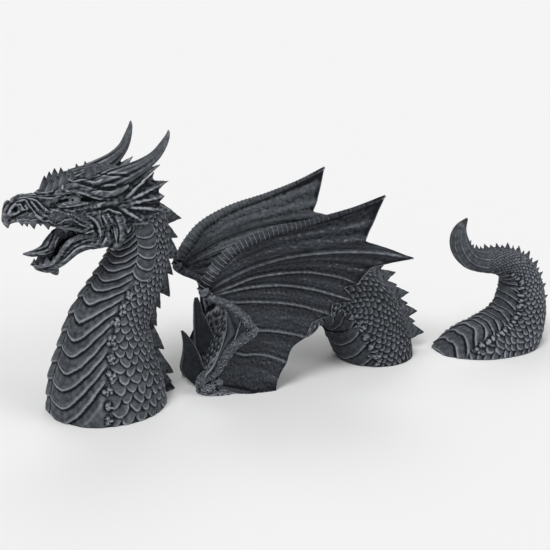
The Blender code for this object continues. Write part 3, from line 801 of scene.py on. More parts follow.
# neck: from the ground up into the back of the skull, (x, y, z, radius)
neckPath = [(4, 0, -14, 76), (4, 0, 4, 75.5), (4, 0, 38, 71), (6.5, 0, 72, 61), (11.5, 0, 103, 53),
            (20, 0, 126, 46), (37, 0, 155, 41), (52, 0, 182, 38), (59, 1, 206, 36), (59, 2, 228, 35.5),
            (52, 3, 244, 34.5), (38, 2, 257, 34), (18, 0, 264, 32)]
neckLook = {"rings": 246, "sides": 288, "plates": (21.0, 8.5), "plateStep": 2.5, "lobeAt": 0.33, "lobe": 8.0,
            "middle": 0.9, "sweep": 50.0, "bellyReach": ([0, 1], [1.17, 1.17]), "band": 0.13, "columns": 9,
            "scaleAspect": 0.8, "leastRadius": 30, "scaleStep": 2.2, "warty": True,
            "clumps": {"from": 22, "to": 178, "spacing": 18.5, "warts": 9, "spread": 2.3, "off": 5.5,
                       "size": 2.0, "height": 2.8, "seed": 4},
            "cascade": [192, 206, 220, 234, 248], "cascadeAt": 1.42, "cascadeHalf": 12.0, "cascadeDrop": 10.0,
            "cascadeLong": 18}
neckSpines = {"count": 13, "spread": (0.07, 0.83), "heights": (32, 25), "lean": -0.55}
dressCasting("neck", neckPath, neckLook, neckSpines, resin, resin)

# body: an arch from its rear foot over to its front foot
archPath = [(139, 16, -14, 53), (139, 16, 3, 53), (133, 16, 22, 54), (123, 16, 43, 55),
            (111, 15, 67, 54), (96, 14, 88, 52), (64, 12, 106, 47), (20, 9, 105, 46), (-28, 5, 82, 47),
            (-64, 2, 48, 47), (-84, 0, 10, 46), (-90, 0, -14, 46)]
archLook = {"rings": 270, "sides": 236, "plates": (26.0, 26.0), "plateStep": 1.7, "lobeAt": 0.34, "lobe": 8.0,
            "middle": 0.6, "sweep": 24.0, "bellyReach": ([0, 1], [1.15, 1.15]), "columns": 12,
            "scaleAspect": 0.85, "leastRadius": 30, "scaleStep": 2.0, "warty": True,
            "clumps": {"from": 8, "to": 180, "spacing": 17.0, "warts": 6, "spread": 2.8, "off": 4.0,
                       "size": 2.2, "height": 2.4, "seed": 6}}
archSpines = {"count": 20, "spread": (0.08, 0.70), "heights": (28, 22), "lean": -0.55}

dressCasting("body", archPath, archLook, archSpines, shadedArchResin, resin)

# tail: out of the ground and up to its curled tip
tailPath = [(-80, 0, -42, 28), (-52, 0, -31, 40), (-16, 0, -18, 48), (20, 0, -4, 47.5), (47, 0, 17, 43.5),
            (61, 0, 43, 37), (64, 0, 67, 32.5), (62, 0, 88, 29), (56, 0, 105, 25), (40, 0, 121, 21.5),
            (14, 0, 130, 18), (-10, 0, 132, 16.5), (-28, 0, 138, 15), (-41, 0, 151, 14),
            (-48, 0, 168, 12), (-46, 0, 184, 8), (-36, 0, 198, 1.2)]
tailHideLook = {"rings": 264, "sides": 200, "plates": (20.0, 11.0), "plateStep": 2.2, "lobeAt": 0.25,
                "lobe": -1.5, "middle": 0.0, "sweep": -22.0, "columns": 10, "scaleAspect": 0.85,
                "bellyReach": ([0, 0.18, 0.4, 0.6, 1], [1.0, 0.62, 0.66, 0.85, 0.9]), "leastRadius": 20,
                "scaleStep": 1.8, "widening": 1.28, "leafTip": 0.735,
                "clumps": {"from": 60, "to": 260, "spacing": 11.0, "warts": 3, "spread": 1.6, "off": 4.5,
                           "size": 2.6, "height": 2.2, "seed": 8}}
tailSpines = {"count": 40, "spread": (0.16, 0.90), "heights": (21, 5), "lean": 0.45}

dressCasting("tail", tailPath, tailHideLook, tailSpines, litTailResin, litTailResin)

# the wings: membranes hung between the fingers, ribbed bones, and the shoulders under them

wing = {
    "upperArm": [(-133, 28, -14, 13), (-139, 36, 17, 11), (-123, 46, 36, 9), (-106, 58, 67, 8),
                 (-79, 68, 92, 8)],
    "foreArm": [(-79, 68, 92, 8), (-94, 66, 114, 8.5), (-111, 63, 129, 8), (-136, 60, 143, 8),
                (-147, 60, 151, 6)],
    "fingers": [
        [(-147, 60, 152), (-127, 62, 181), (-103, 66, 204), (-60, 72, 222), (-8, 80, 233), (46, 90, 247),
         (91, 98, 263.5)],
        [(-138, 60, 149), (-119, 62, 161), (-80, 66, 177), (-30, 73, 188), (30, 83, 191), (85, 93, 187),
         (133, 101, 177)],
        [(-134, 60, 146), (-106, 61, 154), (-77, 62, 162), (-40, 62, 164), (0, 61, 161), (45, 60, 149),
         (73, 60, 136)],
        [(-135, 60, 143), (-110, 61, 147), (-77, 62, 150), (-35, 61, 147), (8, 60, 136), (40, 60, 124),
         (70, 60, 112)],
        [(-132, 60, 140), (-107, 62, 133), (-77, 63, 130), (-46, 62, 125), (-14, 61, 117), (12, 60, 107),
         (35, 60, 97)],
        [(-94, 66, 112), (-86, 67, 102), (-76, 68, 93), (-56, 67, 89), (-38, 66, 84), (-20, 64, 78),
         (-3, 62, 71)],
        [(-106, 58, 67), (-100, 58, 61), (-88, 59, 57), (-74, 60, 56), (-58, 61, 52), (-44, 61, 46),
         (-30, 61, 38)],
        [(-134, 37, 15), (-124, 42, 12), (-112, 47, 8), (-96, 52, 4), (-80, 57, 0), (-63, 62, -6),
         (-47, 65, -14)],
    ],
    "girths": [(7.3, 1.6), (2.4, 1.6), (2.1, 1.4), (2.1, 1.4), (2.1, 1.4), (2.1, 1.4), (2.0, 1.4),
               (3.0, 2.2)],
    "ridgeOut": 1.4, "ridgeMark": 0.28, "boneShade": 0.14,
    "notches": [(0.20, 0.75), (0.07, 0.5), (0.08, 0.5), (0.08, 0.5), (0.07, 0.5), (0.06, 0.5), (0.05, 0.5)],
    "pleats": [5, 6, 5, 4, 4, 4, 3],
    "skin": 3.0, "across": 22, "along": 98, "creases": 0.22,
}


def notchDepth(share, depth, place):
    if share < place:
        return depth * (share / place) ** 0.9
    return depth * ((1 - share) / (1 - place)) ** 0.9


def membrane(side):
    # a sheet between the fingers that sags inward between each two and is scalloped behind
    count = wing["along"]
    fingers = [smoothPath([(*point, 0) for point in finger], count)[:, :3] for finger in wing["fingers"]]
    along = np.linspace(0, 1, count)
    columns = []
    for number, (upper, lower) in enumerate(zip(fingers, fingers[1:])):
        for step in range(wing["across"]):
            share = step / wing["across"]
            reach = along * (1 - notchDepth(share, *wing["notches"][number]))
            a = np.column_stack([np.interp(reach, along, column) for column in upper.T])
            b = np.column_stack([np.interp(reach, along, column) for column in lower.T])
            row = a + (b - a) * share
            row[:, 1] -= wing["pleats"][number] * math.sin(math.pi * share) * np.minimum(1.0, 2.5 * along)
            fold = 0.7 * math.cos(share * math.pi * (6 if number < 2 else 4)) * math.sin(math.pi * share)
            crease = [noise.noise(Vector((number * 9 + share * 7, t * 9, side * 3))) for t in along]
            fine = [noise.noise(Vector((number * 31 + share * 26, t * 30, side * 5))) for t in along]
            row[:, 1] += fold * along + wing["creases"] * (np.array(crease) * 1.6 + np.array(fine))
            columns.append(row)
    columns.append(fingers[-1])
    columns = np.array(columns)
    columns[:, :, 1] *= side
    return sheetMesh(columns, wing["skin"], "membrane")


def wingMesh(side, material):
    bm = bmesh.new()
    addMesh(bm, membrane(side))
    ribbed, ridges = boneTree(), []
    along = np.linspace(0, 1, 60)
    for number, (finger, (thick, thin)) in enumerate(zip(wing["fingers"], wing["girths"])):
        rows = smoothPath([(*point, 0) for point in finger], len(along))[:, :3] * (1, side, 1)
        if number == 0:
            # the leading bone is ribbed and thins toward the wrist again
            girths = np.interp(along, (0, 0.12, 1), (0.7 * thick, thick, thin))
            ribs = {"Ribs": 46, "Rib height": 0.19, "Rib width": 0.55}
            bone, boneGirths = rows, girths
        else:
            rows[:, 1] += side * wing["ridgeOut"] * np.linspace(1, 0.6, len(along))
            girths = thick + (thin - thick) * along
            ribs = {"Ribs": 2, "Rib height": 0.05, "Rib width": 1.0}
            ridges.extend(rows.tolist())
        path = pathMesh(rows, girths=girths)
        addMesh(bm, growMesh("finger", path, ribbed, dict(ribs, Material=material)))
    cutFlat(bm)
    mesh = bakeMesh(bm, "wing")
    roughen(mesh, 0.18, 4.0, seed=side * 7.0)
    markRaised(mesh, rounds=2, scale=0.34, broad=0.12)
    marks = np.empty(len(mesh.vertices), dtype=np.float32)
    mesh.attributes["raised"].data.foreach_get("value", marks)
    # the finger ridges are brushed pale; the skin just beside them is darkened as painted shade under the
    # ridges, and the leading bone is darkened as painted shade
    near = nearTree(ridges)
    found = [(vert.co.y, *near.find(vert.co)) for vert in mesh.vertices]
    apart = np.array([distance for y, spot, index, distance in found])
    outward = np.array([(y - spot.y) * side for y, spot, index, distance in found])
    crown = smoothStep(outward / np.maximum(apart, 0.1) - 0.1)
    # the second term darkens a band beside each ridge: painted shade
    marks += wing["ridgeMark"] * (crown * np.exp(-(apart / 2.4) ** 4) - 0.6 * bulge(apart, 4.1, 1.6))
    near = nearTree(bone.tolist())
    found = [near.find(vert.co) for vert in mesh.vertices]
    onBone = np.array([distance < 1.3 * boneGirths[index] for spot, index, distance in found])
    marks -= wing["boneShade"] * onBone
    writeValues(mesh, "raised", np.clip(marks, 0, 1))
    return mesh


# the near wing takes the darker copy, painted shade, and the far wing the paler one, painted light
for side, name, material in ((-1, "nearWing", shadedWingResin), (1, "farWing", litFarWingResin)):
    finishPiece(name, wingMesh(side, material), "body", material)

# shoulders: ball centre (x, side, z) and radii, under the arms and the lower fingers
shoulders = [(-100, 27, 14, (32, 22, 44)), (-72, 33, 34, (36, 22, 36)), (-90, 39, 62, (24, 18, 34)),
             (-98, 49, 104, (13, 10, 28)), (-46, 37, 62, (34, 20, 34)), (-4, 37, 88, (34, 16, 30))]
# the two leaf plates on the front: pixels up the left and the right edge of each, and its side offset
leaves = [
    ([(199, 388), (190, 381.4), (183.8, 375.3), (179.9, 367.6), (182.6, 353.9), (183, 342.4), (180.9, 330.8)],
     [(211, 386), (207.5, 376), (206, 369.2), (202.9, 362.3), (200.6, 356.2), (196.8, 348.5), (192.2, 341.6),
      (186.8, 334), (182.6, 330.4)], -7.0),
    ([(195, 354), (194.1, 338.6), (193.6, 325), (193.7, 315.6), (193.7, 304.1), (194.8, 297.6)],
     [(219, 354), (215.9, 338.6), (212, 330.9), (206.7, 319.4), (202.9, 313.6), (200.9, 306),
      (197.8, 297.4)], 2.0),
]
# the skin in front of each arm: pixels down its free edge, and how far to the side that edge lies
armSkin = {"edge": [(229.5, 304), (226.6, 313), (226.6, 322), (226, 330), (223.7, 339), (219.7, 351.6),
                    (212.8, 366.6), (205.9, 375)],
           "aside": (60.0, 54.0), "skin": 2.4, "sag": 3.0,
           # elbow, wrist and three for the foot: centre (x, side, z) and radii
           "balls": [(-80, 68, 92, (7.5, 7.5, 8.5)), (-143, 60, 151, (7, 7, 8.5)),
                     (-132, 38, 9, (14, 12, 13)), (-112, 42, 2, (28, 12, 8)), (-120, 39, 16, (17, 9, 11))]}
armPebbles = dict(warts, Spacing=2.6, Density=0.15, Size=1.8, Uneven=0.4, Flatness=0.45, Seed=21)
toBody = castingPlace("body").inverted()


def leafMesh(left, right, aside):
    # a hollow-faced blade with a raised rim, standing near the body's middle line; its right rim carries a
    # painted highlight
    count = 50
    left, right = (smoothPath([(*ontoSide(pixel, aside, toBody), 0) for pixel in edge], count)[:, :3]
                   for edge in (left, right))
    angle = np.linspace(0, 2 * math.pi, 96, endpoint=False)
    toRim = np.abs(np.cos(angle))
    loops, marks = [], []
    for a, b in zip(left, right):
        half = np.linalg.norm(b - a) / 2 + 0.2
        out = (b - a) / np.linalg.norm(b - a)
        thick = min(4.5, half * 0.5) * (0.4 + 0.6 * bulge(toRim, 0.9, 0.08))
        thick = thick * np.clip(3 * np.sin(angle), -1, 1)
        loops.append((a + b) / 2 + np.outer(half * np.cos(angle), out) + np.outer(thick, (0, 1, 0)))
        # both rims are brushed pale, the right one more: painted highlight on the right rim
        marks.extend(0.45 + np.where(np.cos(angle) > 0, 0.5, 0.2) * smoothStep((toRim - 0.78) / 0.12))
    mesh = gridMesh("leaf", loops)
    writeValues(mesh, "raised", marks + [0.6, 0.6])
    return mesh


def armSkinMesh(side):
    count, across = 50, 24
    asides = np.linspace(*armSkin["aside"], len(armSkin["edge"]))
    edge = [(*ontoSide(pixel, -aside, toBody), 0) for pixel, aside in zip(armSkin["edge"], asides)]
    front = smoothPath(edge, count)[:, :3]
    bones = np.array(smoothPath(wing["upperArm"][1:] + wing["foreArm"][1:-1], count))[::-1, :3] * (1, -1, 1)
    down = np.sin(np.linspace(0, math.pi, count))
    grid = []
    for share in np.linspace(0, 1, across):
        row = front + (bones - front) * share
        row[:, 1] += armSkin["sag"] * math.sin(math.pi * share) * down + 0.8 * np.cos(share * 15) * down
        grid.append(row * (1, -side, 1))
    return sheetMesh(grid, armSkin["skin"], "armSkin")


def armsMesh():
    # upper arm, elbow, forearm and wrist on both sides, rough as bark
    bm = bmesh.new()
    for bone, girth in (("foreArm", 0.72), ("upperArm", 0.84)):
        addPair(bm, [(x, y, z, radius * girth) for x, y, z, radius in wing[bone]], rings=60, sides=24)
    addBalls(bm, armSkin["balls"])
    cutFlat(bm)
    mesh = fuse(bm, 1.3, "arms", 3)
    roughen(mesh, 0.22, 6.0, (1, 1, 1.6), seed=14.0, creased=True)
    roughen(mesh, 0.2, 4.0, seed=3.0)
    points = readPoints(mesh)
    elbow = np.linalg.norm(np.abs(points - (0, 0, 92)) - (80, 68, 0), axis=1)
    low = smoothStep((64 - points[:, 2]) / 20)
    writeValues(mesh, "studs", 0.6 * np.maximum(bulge(elbow, 0, 24), low))
    return mesh


shoulder = bmesh.new()
addBalls(shoulder, shoulders)
cutFlat(shoulder)
shoulderMesh = fuse(shoulder, 2.0, "shoulders", 4)
roughen(shoulderMesh, 0.8, 9.0, seed=2.0)
roughen(shoulderMesh, 0.5, 5.0, (1, 1, 0.5), seed=9.0, creased=True)
finishPiece("shoulders", keepAboveFloor(shoulderMesh), "body", shadedWingResin)

arms = armsMesh()
armWarts = growMesh("armWarts", arms.copy(), studTree(), armPebbles)
finishPiece("wingArms", keepAboveFloor(arms), "body", shadedArchResin, scale=0.36)
finishPiece("armWarts", keepAboveFloor(armWarts), "body", resin, rounds=2, scale=0.4)

blades = bmesh.new()
for left, right, aside in leaves:
    addMesh(blades, leafMesh(left, right, aside))
for side in (-1, 1):
    skin = armSkinMesh(side)
    markRaised(skin, rounds=2, scale=0.4, broad=0.3)
    addMesh(blades, skin)
cutFlat(blades)
bladesMesh = bakeMesh(blades, "blades")
roughen(bladesMesh, 0.25, 4.0, seed=6.0)
finishPiece("frontLeaves", bladesMesh, "body", shadedArchResin)

# the head: the skull, jaw and folds fused as clay, then carved with strokes; it is turned a little
# further than its neck
headTurn = 8.0
head = {
    # along the skull and the jaw (x, z, half width, half height)
    "skull": [(66, 262, 22, 26), (48, 268, 33, 36), (22, 274, 37, 40), (-4, 278, 35, 38), (-26, 279, 31, 34),
              (-44, 278, 26, 27), (-60, 277.5, 21, 19), (-80, 276.5, 18, 15), (-97, 275.5, 16, 15.5),
              (-107, 272, 13, 12.5), (-114, 267, 7, 8)],
    "jaw": [(18, 233, 30, 19), (-6, 228, 28, 14.5), (-26, 225, 25, 11.5), (-42, 221, 21, 10.5),
            (-53, 209, 17, 11), (-63, 200, 14, 9), (-76, 199, 10, 6), (-84, 201, 5, 3.5)],
    "mouthDepth": 5.5,
    "horn": [(-34, 18, 286, 4), (-14, 23, 294, 9), (8, 26, 299, 13), (28, 29, 305, 11.4), (49, 33, 313, 8.9),
             (66, 38, 324, 6.8), (76, 42, 337, 5.2), (82, 44.5, 349, 3.0), (83, 45, 356, 1.2)],
    "smallHorn": [(26, 22, 286, 3), (38, 24, 292, 6.5), (58, 28, 302, 5), (78, 33, 312, 0.8)],
    # folds on both sides (x, side, z, radius)
    "brow": [(-68, 10, 281, 2), (-60, 15, 287, 4), (-52, 20, 293, 5.5), (-40, 26, 296, 6.5),
             (-24, 31, 291, 6), (-6, 35, 287, 6), (14, 36, 288, 5), (30, 34, 292, 2)],
    "muzzle": [(-106, 8, 269, 5), (-90, 13, 268, 9), (-66, 17, 265, 11), (-44, 21, 261, 12.5),
               (-20, 25, 257, 14), (2, 28, 254, 13), (18, 28, 254, 7)],
    "jawSide": [(12, 24, 226, 9), (-8, 26, 227, 10), (-28, 22.5, 225, 8.5), (-43, 19, 218, 7.5),
                (-54, 15.5, 208.5, 6.5), (-63, 12, 202.5, 5.5), (-74, 8, 200.5, 3.5)],
    "lip": [(-108, 11, 265, 3), (-96, 16, 264.5, 4), (-76, 19, 260.5, 4.5), (-52, 24, 251.5, 4.5),
            (-30, 28, 245, 4.5), (-10, 31, 242, 4.5), (6, 31, 246, 3)],
    "jawRim": [(2, 30, 234, 3), (-10, 30, 235.5, 4), (-24, 27, 235.5, 4), (-42, 22.5, 232.5, 3.6),
               (-52, 18.5, 224, 3.4), (-58, 16, 213, 3.5), (-68, 13, 205, 3), (-80, 9, 203, 2.4),
               (-88, 3, 203, 1.5)],
    "cheek": [(-10, 26, 264, 5), (4, 31, 260, 9), (14, 32, 248, 11), (15, 32, 234, 10), (11, 30, 222, 8),
              (6, 27, 214, 4)],
    "lowerLid": [(-64, 15, 274, 2), (-50, 21, 271, 3.5), (-36, 25, 270, 4.5), (-20, 29, 272, 5),
                 (-4, 31, 275, 4)],
    "nostrilRim": [(-90, 13, 264, 2), (-94, 15, 270, 3), (-100, 14, 279, 3.6), (-109, 9, 280, 3.6),
                   (-115, 6, 271, 3)],
    # on the middle line (x, z, radius)
    "beak": [(-104, 277, 9), (-112, 272, 8), (-116, 264, 6), (-115, 254, 1.2)],
    "noseHorn": [(-101, 279, 5), (-107, 285, 3.5), (-107, 291, 0.8)],
    "tongue": [(-10, 238, 9), (-36, 239, 9), (-51, 236, 8.5), (-61, 228, 8), (-71, 220, 6.5), (-85, 218, 4.5),
               (-99, 219.5, 1.2)],
    "chinSpike": [(-62, 197, 7), (-58, 191, 5.5), (-54, 186, 2.2)],
    # thorns over the brow (x, side, foot, tip) and teeth (x, side, length)
    "crest": [(-60, 7, 289, 308), (-52, 9, 294, 311), (-44, 11, 297, 315), (-34, 13, 300, 314),
              (-22, 15, 303, 311), (-10, 17, 306, 315), (2, 17, 308, 317)],
    "crestLean": (3, 2),
    "upperTeeth": [(-103, 12, 6), (-98, 14, 7), (-90, 15, 10), (-82, 17, 5), (-73, 18, 9), (-62, 20, 5),
                   (-52, 22, 8), (-40, 25, 5), (-28, 28, 5)],
    "lowerTeeth": [(-80, 8, 7), (-72, 10, 12), (-64, 13, 6), (-56, 16, 7), (-46, 20, 5), (-34, 24, 5)],
    # ear frill: root and the tips of its ribs (x, side, z)
    "frillRoot": (14, 33, 268),
    "frillTips": [(62, 44, 307), (78, 52, 294.5), (71, 53, 276), (80, 53, 256), (46, 50, 243), (22, 43, 234)],
    "frillScallop": 0.144, "frillSag": 3.8, "frillRib": (3.6, 2.1, 0.8), "frillSkin": 2.2, "grain": 1.13,
}


def ovalLoops(stations, count, sides, hollow=0.0):
    loops = []
    for x, z, wide, tall in smoothPath(stations, count):
        angle = np.linspace(0, 2 * math.pi, sides, endpoint=False)
        y = wide * np.cos(angle)
        up = tall * np.sin(angle)
        if hollow:
            sunk = -hollow * (1 - (y / wide) ** 2) * min(1.0, wide / 14) + up * 0.3
            up = np.where(up > 0, sunk, up)
        loops.append(np.column_stack([np.full(sides, x), y, z + up]))
    return loops


def heightAlong(rod, x):
    line = sorted((point[0], point[2]) for point in rod)
    return float(np.interp(x, [point[0] for point in line], [point[1] for point in line]))


def addFrill(bm, side):
    # webs that sag between the ribs and are notched at their rim
    root, *tips = (Vector((x, side * y, z)) for x, y, z in [head["frillRoot"]] + head["frillTips"])
    rim = []
    for a, b in zip(tips, tips[1:]):
        for step in range(10):
            arch = math.sin(math.pi * step / 10)
            arm = (a.lerp(b, step / 10) - root) * (1 - head["frillScallop"] * arch)
            rim.append(arm - Vector((0, side * head["frillSag"] * arch, 0)))
    rim.append(tips[-1] - root)
    grid = [[root + arm * share for arm in rim] for share in np.linspace(0.06, 1.0, 14)]
    addMesh(bm, sheetMesh(grid, head["frillSkin"], "frill"))
    for tip in tips:
        line = zip((root, (root + tip) / 2, tip), head["frillRib"])
        addMesh(bm, tubeMesh([(*spot, radius) for spot, radius in line], rings=24, sides=12))


def headClay():
    bm = bmesh.new()
    addMesh(bm, gridMesh("skull", ovalLoops(head["skull"], 120, 96)))
    addMesh(bm, gridMesh("jaw", ovalLoops(head["jaw"], 90, 80, head["mouthDepth"])))
    addPair(bm, head["horn"], rings=70, sides=60, grooves=11, depth=0.17)
    addPair(bm, head["smallHorn"], rings=30, sides=30, grooves=8, depth=0.10)
    for form in ("brow", "muzzle", "jawSide", "lip", "jawRim", "cheek", "lowerLid", "nostrilRim"):
        addPair(bm, head[form], rings=60, sides=24)
    for form in ("beak", "noseHorn", "chinSpike"):
        addMiddle(bm, head[form], rings=30, sides=24)
    addMiddle(bm, head["tongue"], rings=60, sides=40, grooves=5, depth=0.08)
    for side in (-1, 1):
        addFrill(bm, side)
    return fuse(bm, head["grain"], "headSculpt", 5)


def thornPoints(rows):
    # rows of (foot, tip); returns a loose point mesh for the thorn tree
    feet = np.array([foot for foot, tip in rows])
    reach = np.array([tip for foot, tip in rows]) - feet
    return pathMesh(feet, {"reach": reach, "along": np.tile((-1.0, 0.0, 0.0), (len(rows), 1))}, joined=False)


def toothRows():
    rows = []
    for side in (-1, 1):
        for x, y, long in head["upperTeeth"]:
            top = heightAlong(head["lip"], x)
            rows.append(((x, side * y, top + 2), (x + 1, side * y, top - 4 - long * 0.75)))
        for x, y, long in head["lowerTeeth"]:
            top = heightAlong(head["jawRim"], x)
            rows.append(((x, side * y, top - 1), (x - 1, side * y, top + 2 + long * 0.6)))
    return rows


def crestRows():
    back, out = head["crestLean"]
    return [((x, side * y, foot), (x - back, side * (y + out), tip))
            for side in (-1, 1) for x, y, foot, tip in head["crest"]]


# each stroke: how high it stands (mm; below 0 it is cut in), its half width (mm), and its points
strokes = [
    (-3.4, 3.4, [(640, 405), (720, 390), (800, 365), (880, 345), (960, 350), (1050, 370), (1130, 378)]),
    (-2.0, 1.8, [(780, 300), (860, 285), (940, 295), (1030, 335), (1130, 360), (1260, 362)]),
    (-6.0, 2.6, [(165, 485), (190, 455), (212, 430)]),
    (-2.0, 1.6, [(262, 395), (290, 430), (312, 470)]),
    (-1.8, 1.5, [(335, 375), (385, 450), (440, 515), (490, 545)]),
    (-1.6, 1.4, [(430, 400), (480, 465), (530, 515), (575, 520), (600, 500)]),
    (-1.2, 1.2, [(250, 318), (340, 300), (460, 310), (560, 320), (640, 310)]),
    (-1.2, 1.2, [(300, 262), (390, 262), (450, 285), (540, 290)]),
    (-1.5, 1.5, [(110, 600), (170, 560), (240, 520), (330, 490), (400, 500)]),
    (-2.0, 1.8, [(1060, 590), (1120, 650), (1140, 720), (1150, 780)]),
    (-1.5, 1.8, [(1230, 600), (1250, 700), (1240, 800), (1210, 870)]),
    (-1.4, 1.2, [(1290, 560), (1330, 660), (1350, 760), (1365, 860)]),
    (-1.4, 1.2, [(1340, 540), (1390, 650), (1410, 760), (1400, 860)]),
    (-1.2, 1.2, [(1200, 500), (1215, 570), (1230, 640)]),
    (-1.8, 2.2, [(1080, 240), (1180, 220), (1290, 230), (1380, 220)]),
    (-1.6, 1.6, [(1150, 40), (1280, 50), (1430, 60), (1550, 75)]),
    (-0.9, 1.1, [(1150, 850), (1020, 870), (900, 920), (820, 990), (760, 1060)]),
    (-1.2, 1.4, [(640, 740), (600, 850), (560, 920), (480, 950), (380, 970)]),
    (1.3, 1.3, [(245, 300), (320, 268), (400, 258), (470, 275), (560, 285), (640, 280)]),
    (1.3, 1.3, [(225, 330), (300, 318), (400, 325), (480, 325), (570, 335), (650, 330)]),
    (1.0, 1.2, [(350, 250), (440, 262), (520, 270), (600, 262), (650, 250)]),
    (1.8, 1.5, [(215, 350), (270, 335), (350, 345), (430, 370), (490, 425), (540, 470), (590, 505),
                (625, 480)]),
    (1.8, 1.5, [(95, 520), (130, 460), (180, 405), (240, 372), (300, 362), (350, 420), (400, 480), (450, 540),
                (520, 585)]),
    (1.0, 1.0, [(240, 395), (255, 450), (270, 490)]),
    (1.2, 1.2, [(345, 350), (400, 410), (450, 470), (500, 520), (550, 545), (620, 560)]),
    (2.0, 1.6, [(745, 235), (745, 190), (770, 140), (815, 118), (855, 140), (900, 140), (960, 120),
                (1020, 115)]),
    (1.4, 1.5, [(620, 270), (640, 200), (700, 150), (760, 120)]),
    (1.0, 1.3, [(560, 170), (600, 120), (680, 85), (760, 55), (840, 10)]),
    (1.0, 1.2, [(870, 90), (930, 60), (1000, 20)]),
    (1.6, 2.2, [(1020, 130), (1110, 150), (1180, 130), (1230, 100)]),
    (1.6, 2.0, [(790, 245), (860, 250), (940, 262), (1020, 285), (1100, 315), (1200, 340), (1320, 345)]),
    (1.4, 1.4, [(690, 430), (760, 440), (850, 430), (940, 415), (1020, 395), (1100, 390)]),
    (1.2, 1.6, [(760, 470), (850, 490), (940, 470), (1040, 450), (1130, 440), (1200, 430)]),
    (1.0, 1.4, [(620, 470), (700, 490), (780, 520), (880, 540), (960, 590), (1040, 620)]),
    (1.4, 1.2, [(400, 530), (450, 560), (510, 600), (590, 605), (650, 640), (720, 620), (780, 590),
                (850, 585), (900, 610), (960, 645), (1050, 680), (1140, 690)]),
    (1.7, 1.7, [(1040, 550), (1110, 585), (1160, 640), (1185, 710), (1190, 780), (1170, 840)]),
    (1.1, 1.5, [(1180, 480), (1220, 560), (1270, 640), (1290, 720), (1290, 800)]),
    (1.1, 1.3, [(1270, 500), (1310, 600), (1350, 700), (1375, 800), (1390, 880)]),
    (0.9, 1.2, [(1330, 520), (1380, 620), (1400, 720), (1400, 800)]),
    (2.4, 1.8, [(1240, 490), (1290, 475), (1360, 500), (1440, 520)]),
    (1.2, 1.4, [(1240, 185), (1310, 175), (1380, 180)]),
    (1.6, 1.3, [(1130, 715), (1000, 752), (870, 785), (780, 830), (735, 900), (700, 1000), (650, 1090),
                (580, 1145), (480, 1150), (400, 1120)]),
    (0.5, 1.2, [(1180, 800), (1050, 830), (930, 860), (850, 900), (800, 960)]),
    (0.5, 1.2, [(1140, 900), (1000, 910), (900, 950), (800, 1040), (740, 1100)]),
    (1.2, 1.1, [(700, 790), (660, 860), (640, 930), (600, 970), (540, 995), (470, 1000)]),
    (-2.6, 2.6, [(710, 372), (760, 356), (812, 350)]),
    (-1.8, 1.1, [(790, 318), (850, 294), (930, 290), (1010, 322)]),
    (-1.6, 1.2, [(965, 345), (1000, 355), (1040, 372)]),
]
# pebbled places: half width (mm) and points
pebbled = [
    (5.0, [(520, 480), (600, 560), (700, 610)]),
    (5.0, [(760, 500), (900, 540), (1020, 600), (1080, 640)]),
    (3.0, [(790, 230), (880, 245), (960, 265), (1060, 300)]),
    (4.0, [(860, 460), (960, 470), (1060, 440), (1160, 430)]),
    (5.0, [(640, 450), (720, 520), (820, 560), (900, 600)]),
    (2.4, [(150, 600), (200, 590), (250, 560), (310, 535), (360, 510)]),
    (2.4, [(480, 590), (560, 630), (640, 655), (740, 640)]),
    (4.0, [(900, 820), (1000, 800), (1120, 790), (1180, 860)]),
    (4.0, [(1260, 640), (1280, 740), (1300, 840)]),
]
eye = {"at": (895, 356), "radius": 7.2, "sunk": 5.2, "look": (-0.85, 0.0, 0.08), "iris": 0.66,
       "pupil": 0.3}
# how much the strokes' heights and widths above are multiplied
strokeScale = {"cut": (1.35, 1.0), "raised": (1.215, 0.8)}


def traceStroke(skin, line, toLocal):
    # where a drawn line falls on the clay: a point and the skin's direction about every millimetre,
    # without the points that leap to another fold
    apart, leap = 9, 9
    line = smoothPath([(x, y, 0) for x, y in line], max(4, len(line) * 12))[:, :2]
    steps = np.linalg.norm(np.diff(line, axis=0), axis=1)
    count = max(4, int(steps.sum() / apart))
    line = line[np.linspace(0, len(line) - 1, count).astype(int)]
    found = []
    for spot in line:
        place, sight = photoRay(fromZoom(spot), toLocal)
        hit, normal, index, distance = skin.ray_cast(place, sight)
        if hit is not None and (not found or (hit - found[-1][0]).length < leap):
            found.append((hit, normal))
    return found


def strokeWeights(points, normals, near, trace, width):
    # 1 on the stroke, fading to 0 beside it and toward its ends, on both sides of the head
    weights = np.zeros(len(points))
    for side in (1, -1):
        for number, (spot, normal) in enumerate(trace):
            share = (number + 0.5) / len(trace)
            fade = min(1.0, 5 * share, 5 * (1 - share)) ** 0.7
            aim = np.array((normal.x, normal.y * side, normal.z))
            for place, index, distance in near.find_range((spot.x, spot.y * side, spot.z), 2.2 * width):
                if normals[index].dot(aim) > 0.1:
                    weights[index] = max(weights[index], fade * math.exp(-(distance / width) ** 2))
    return weights


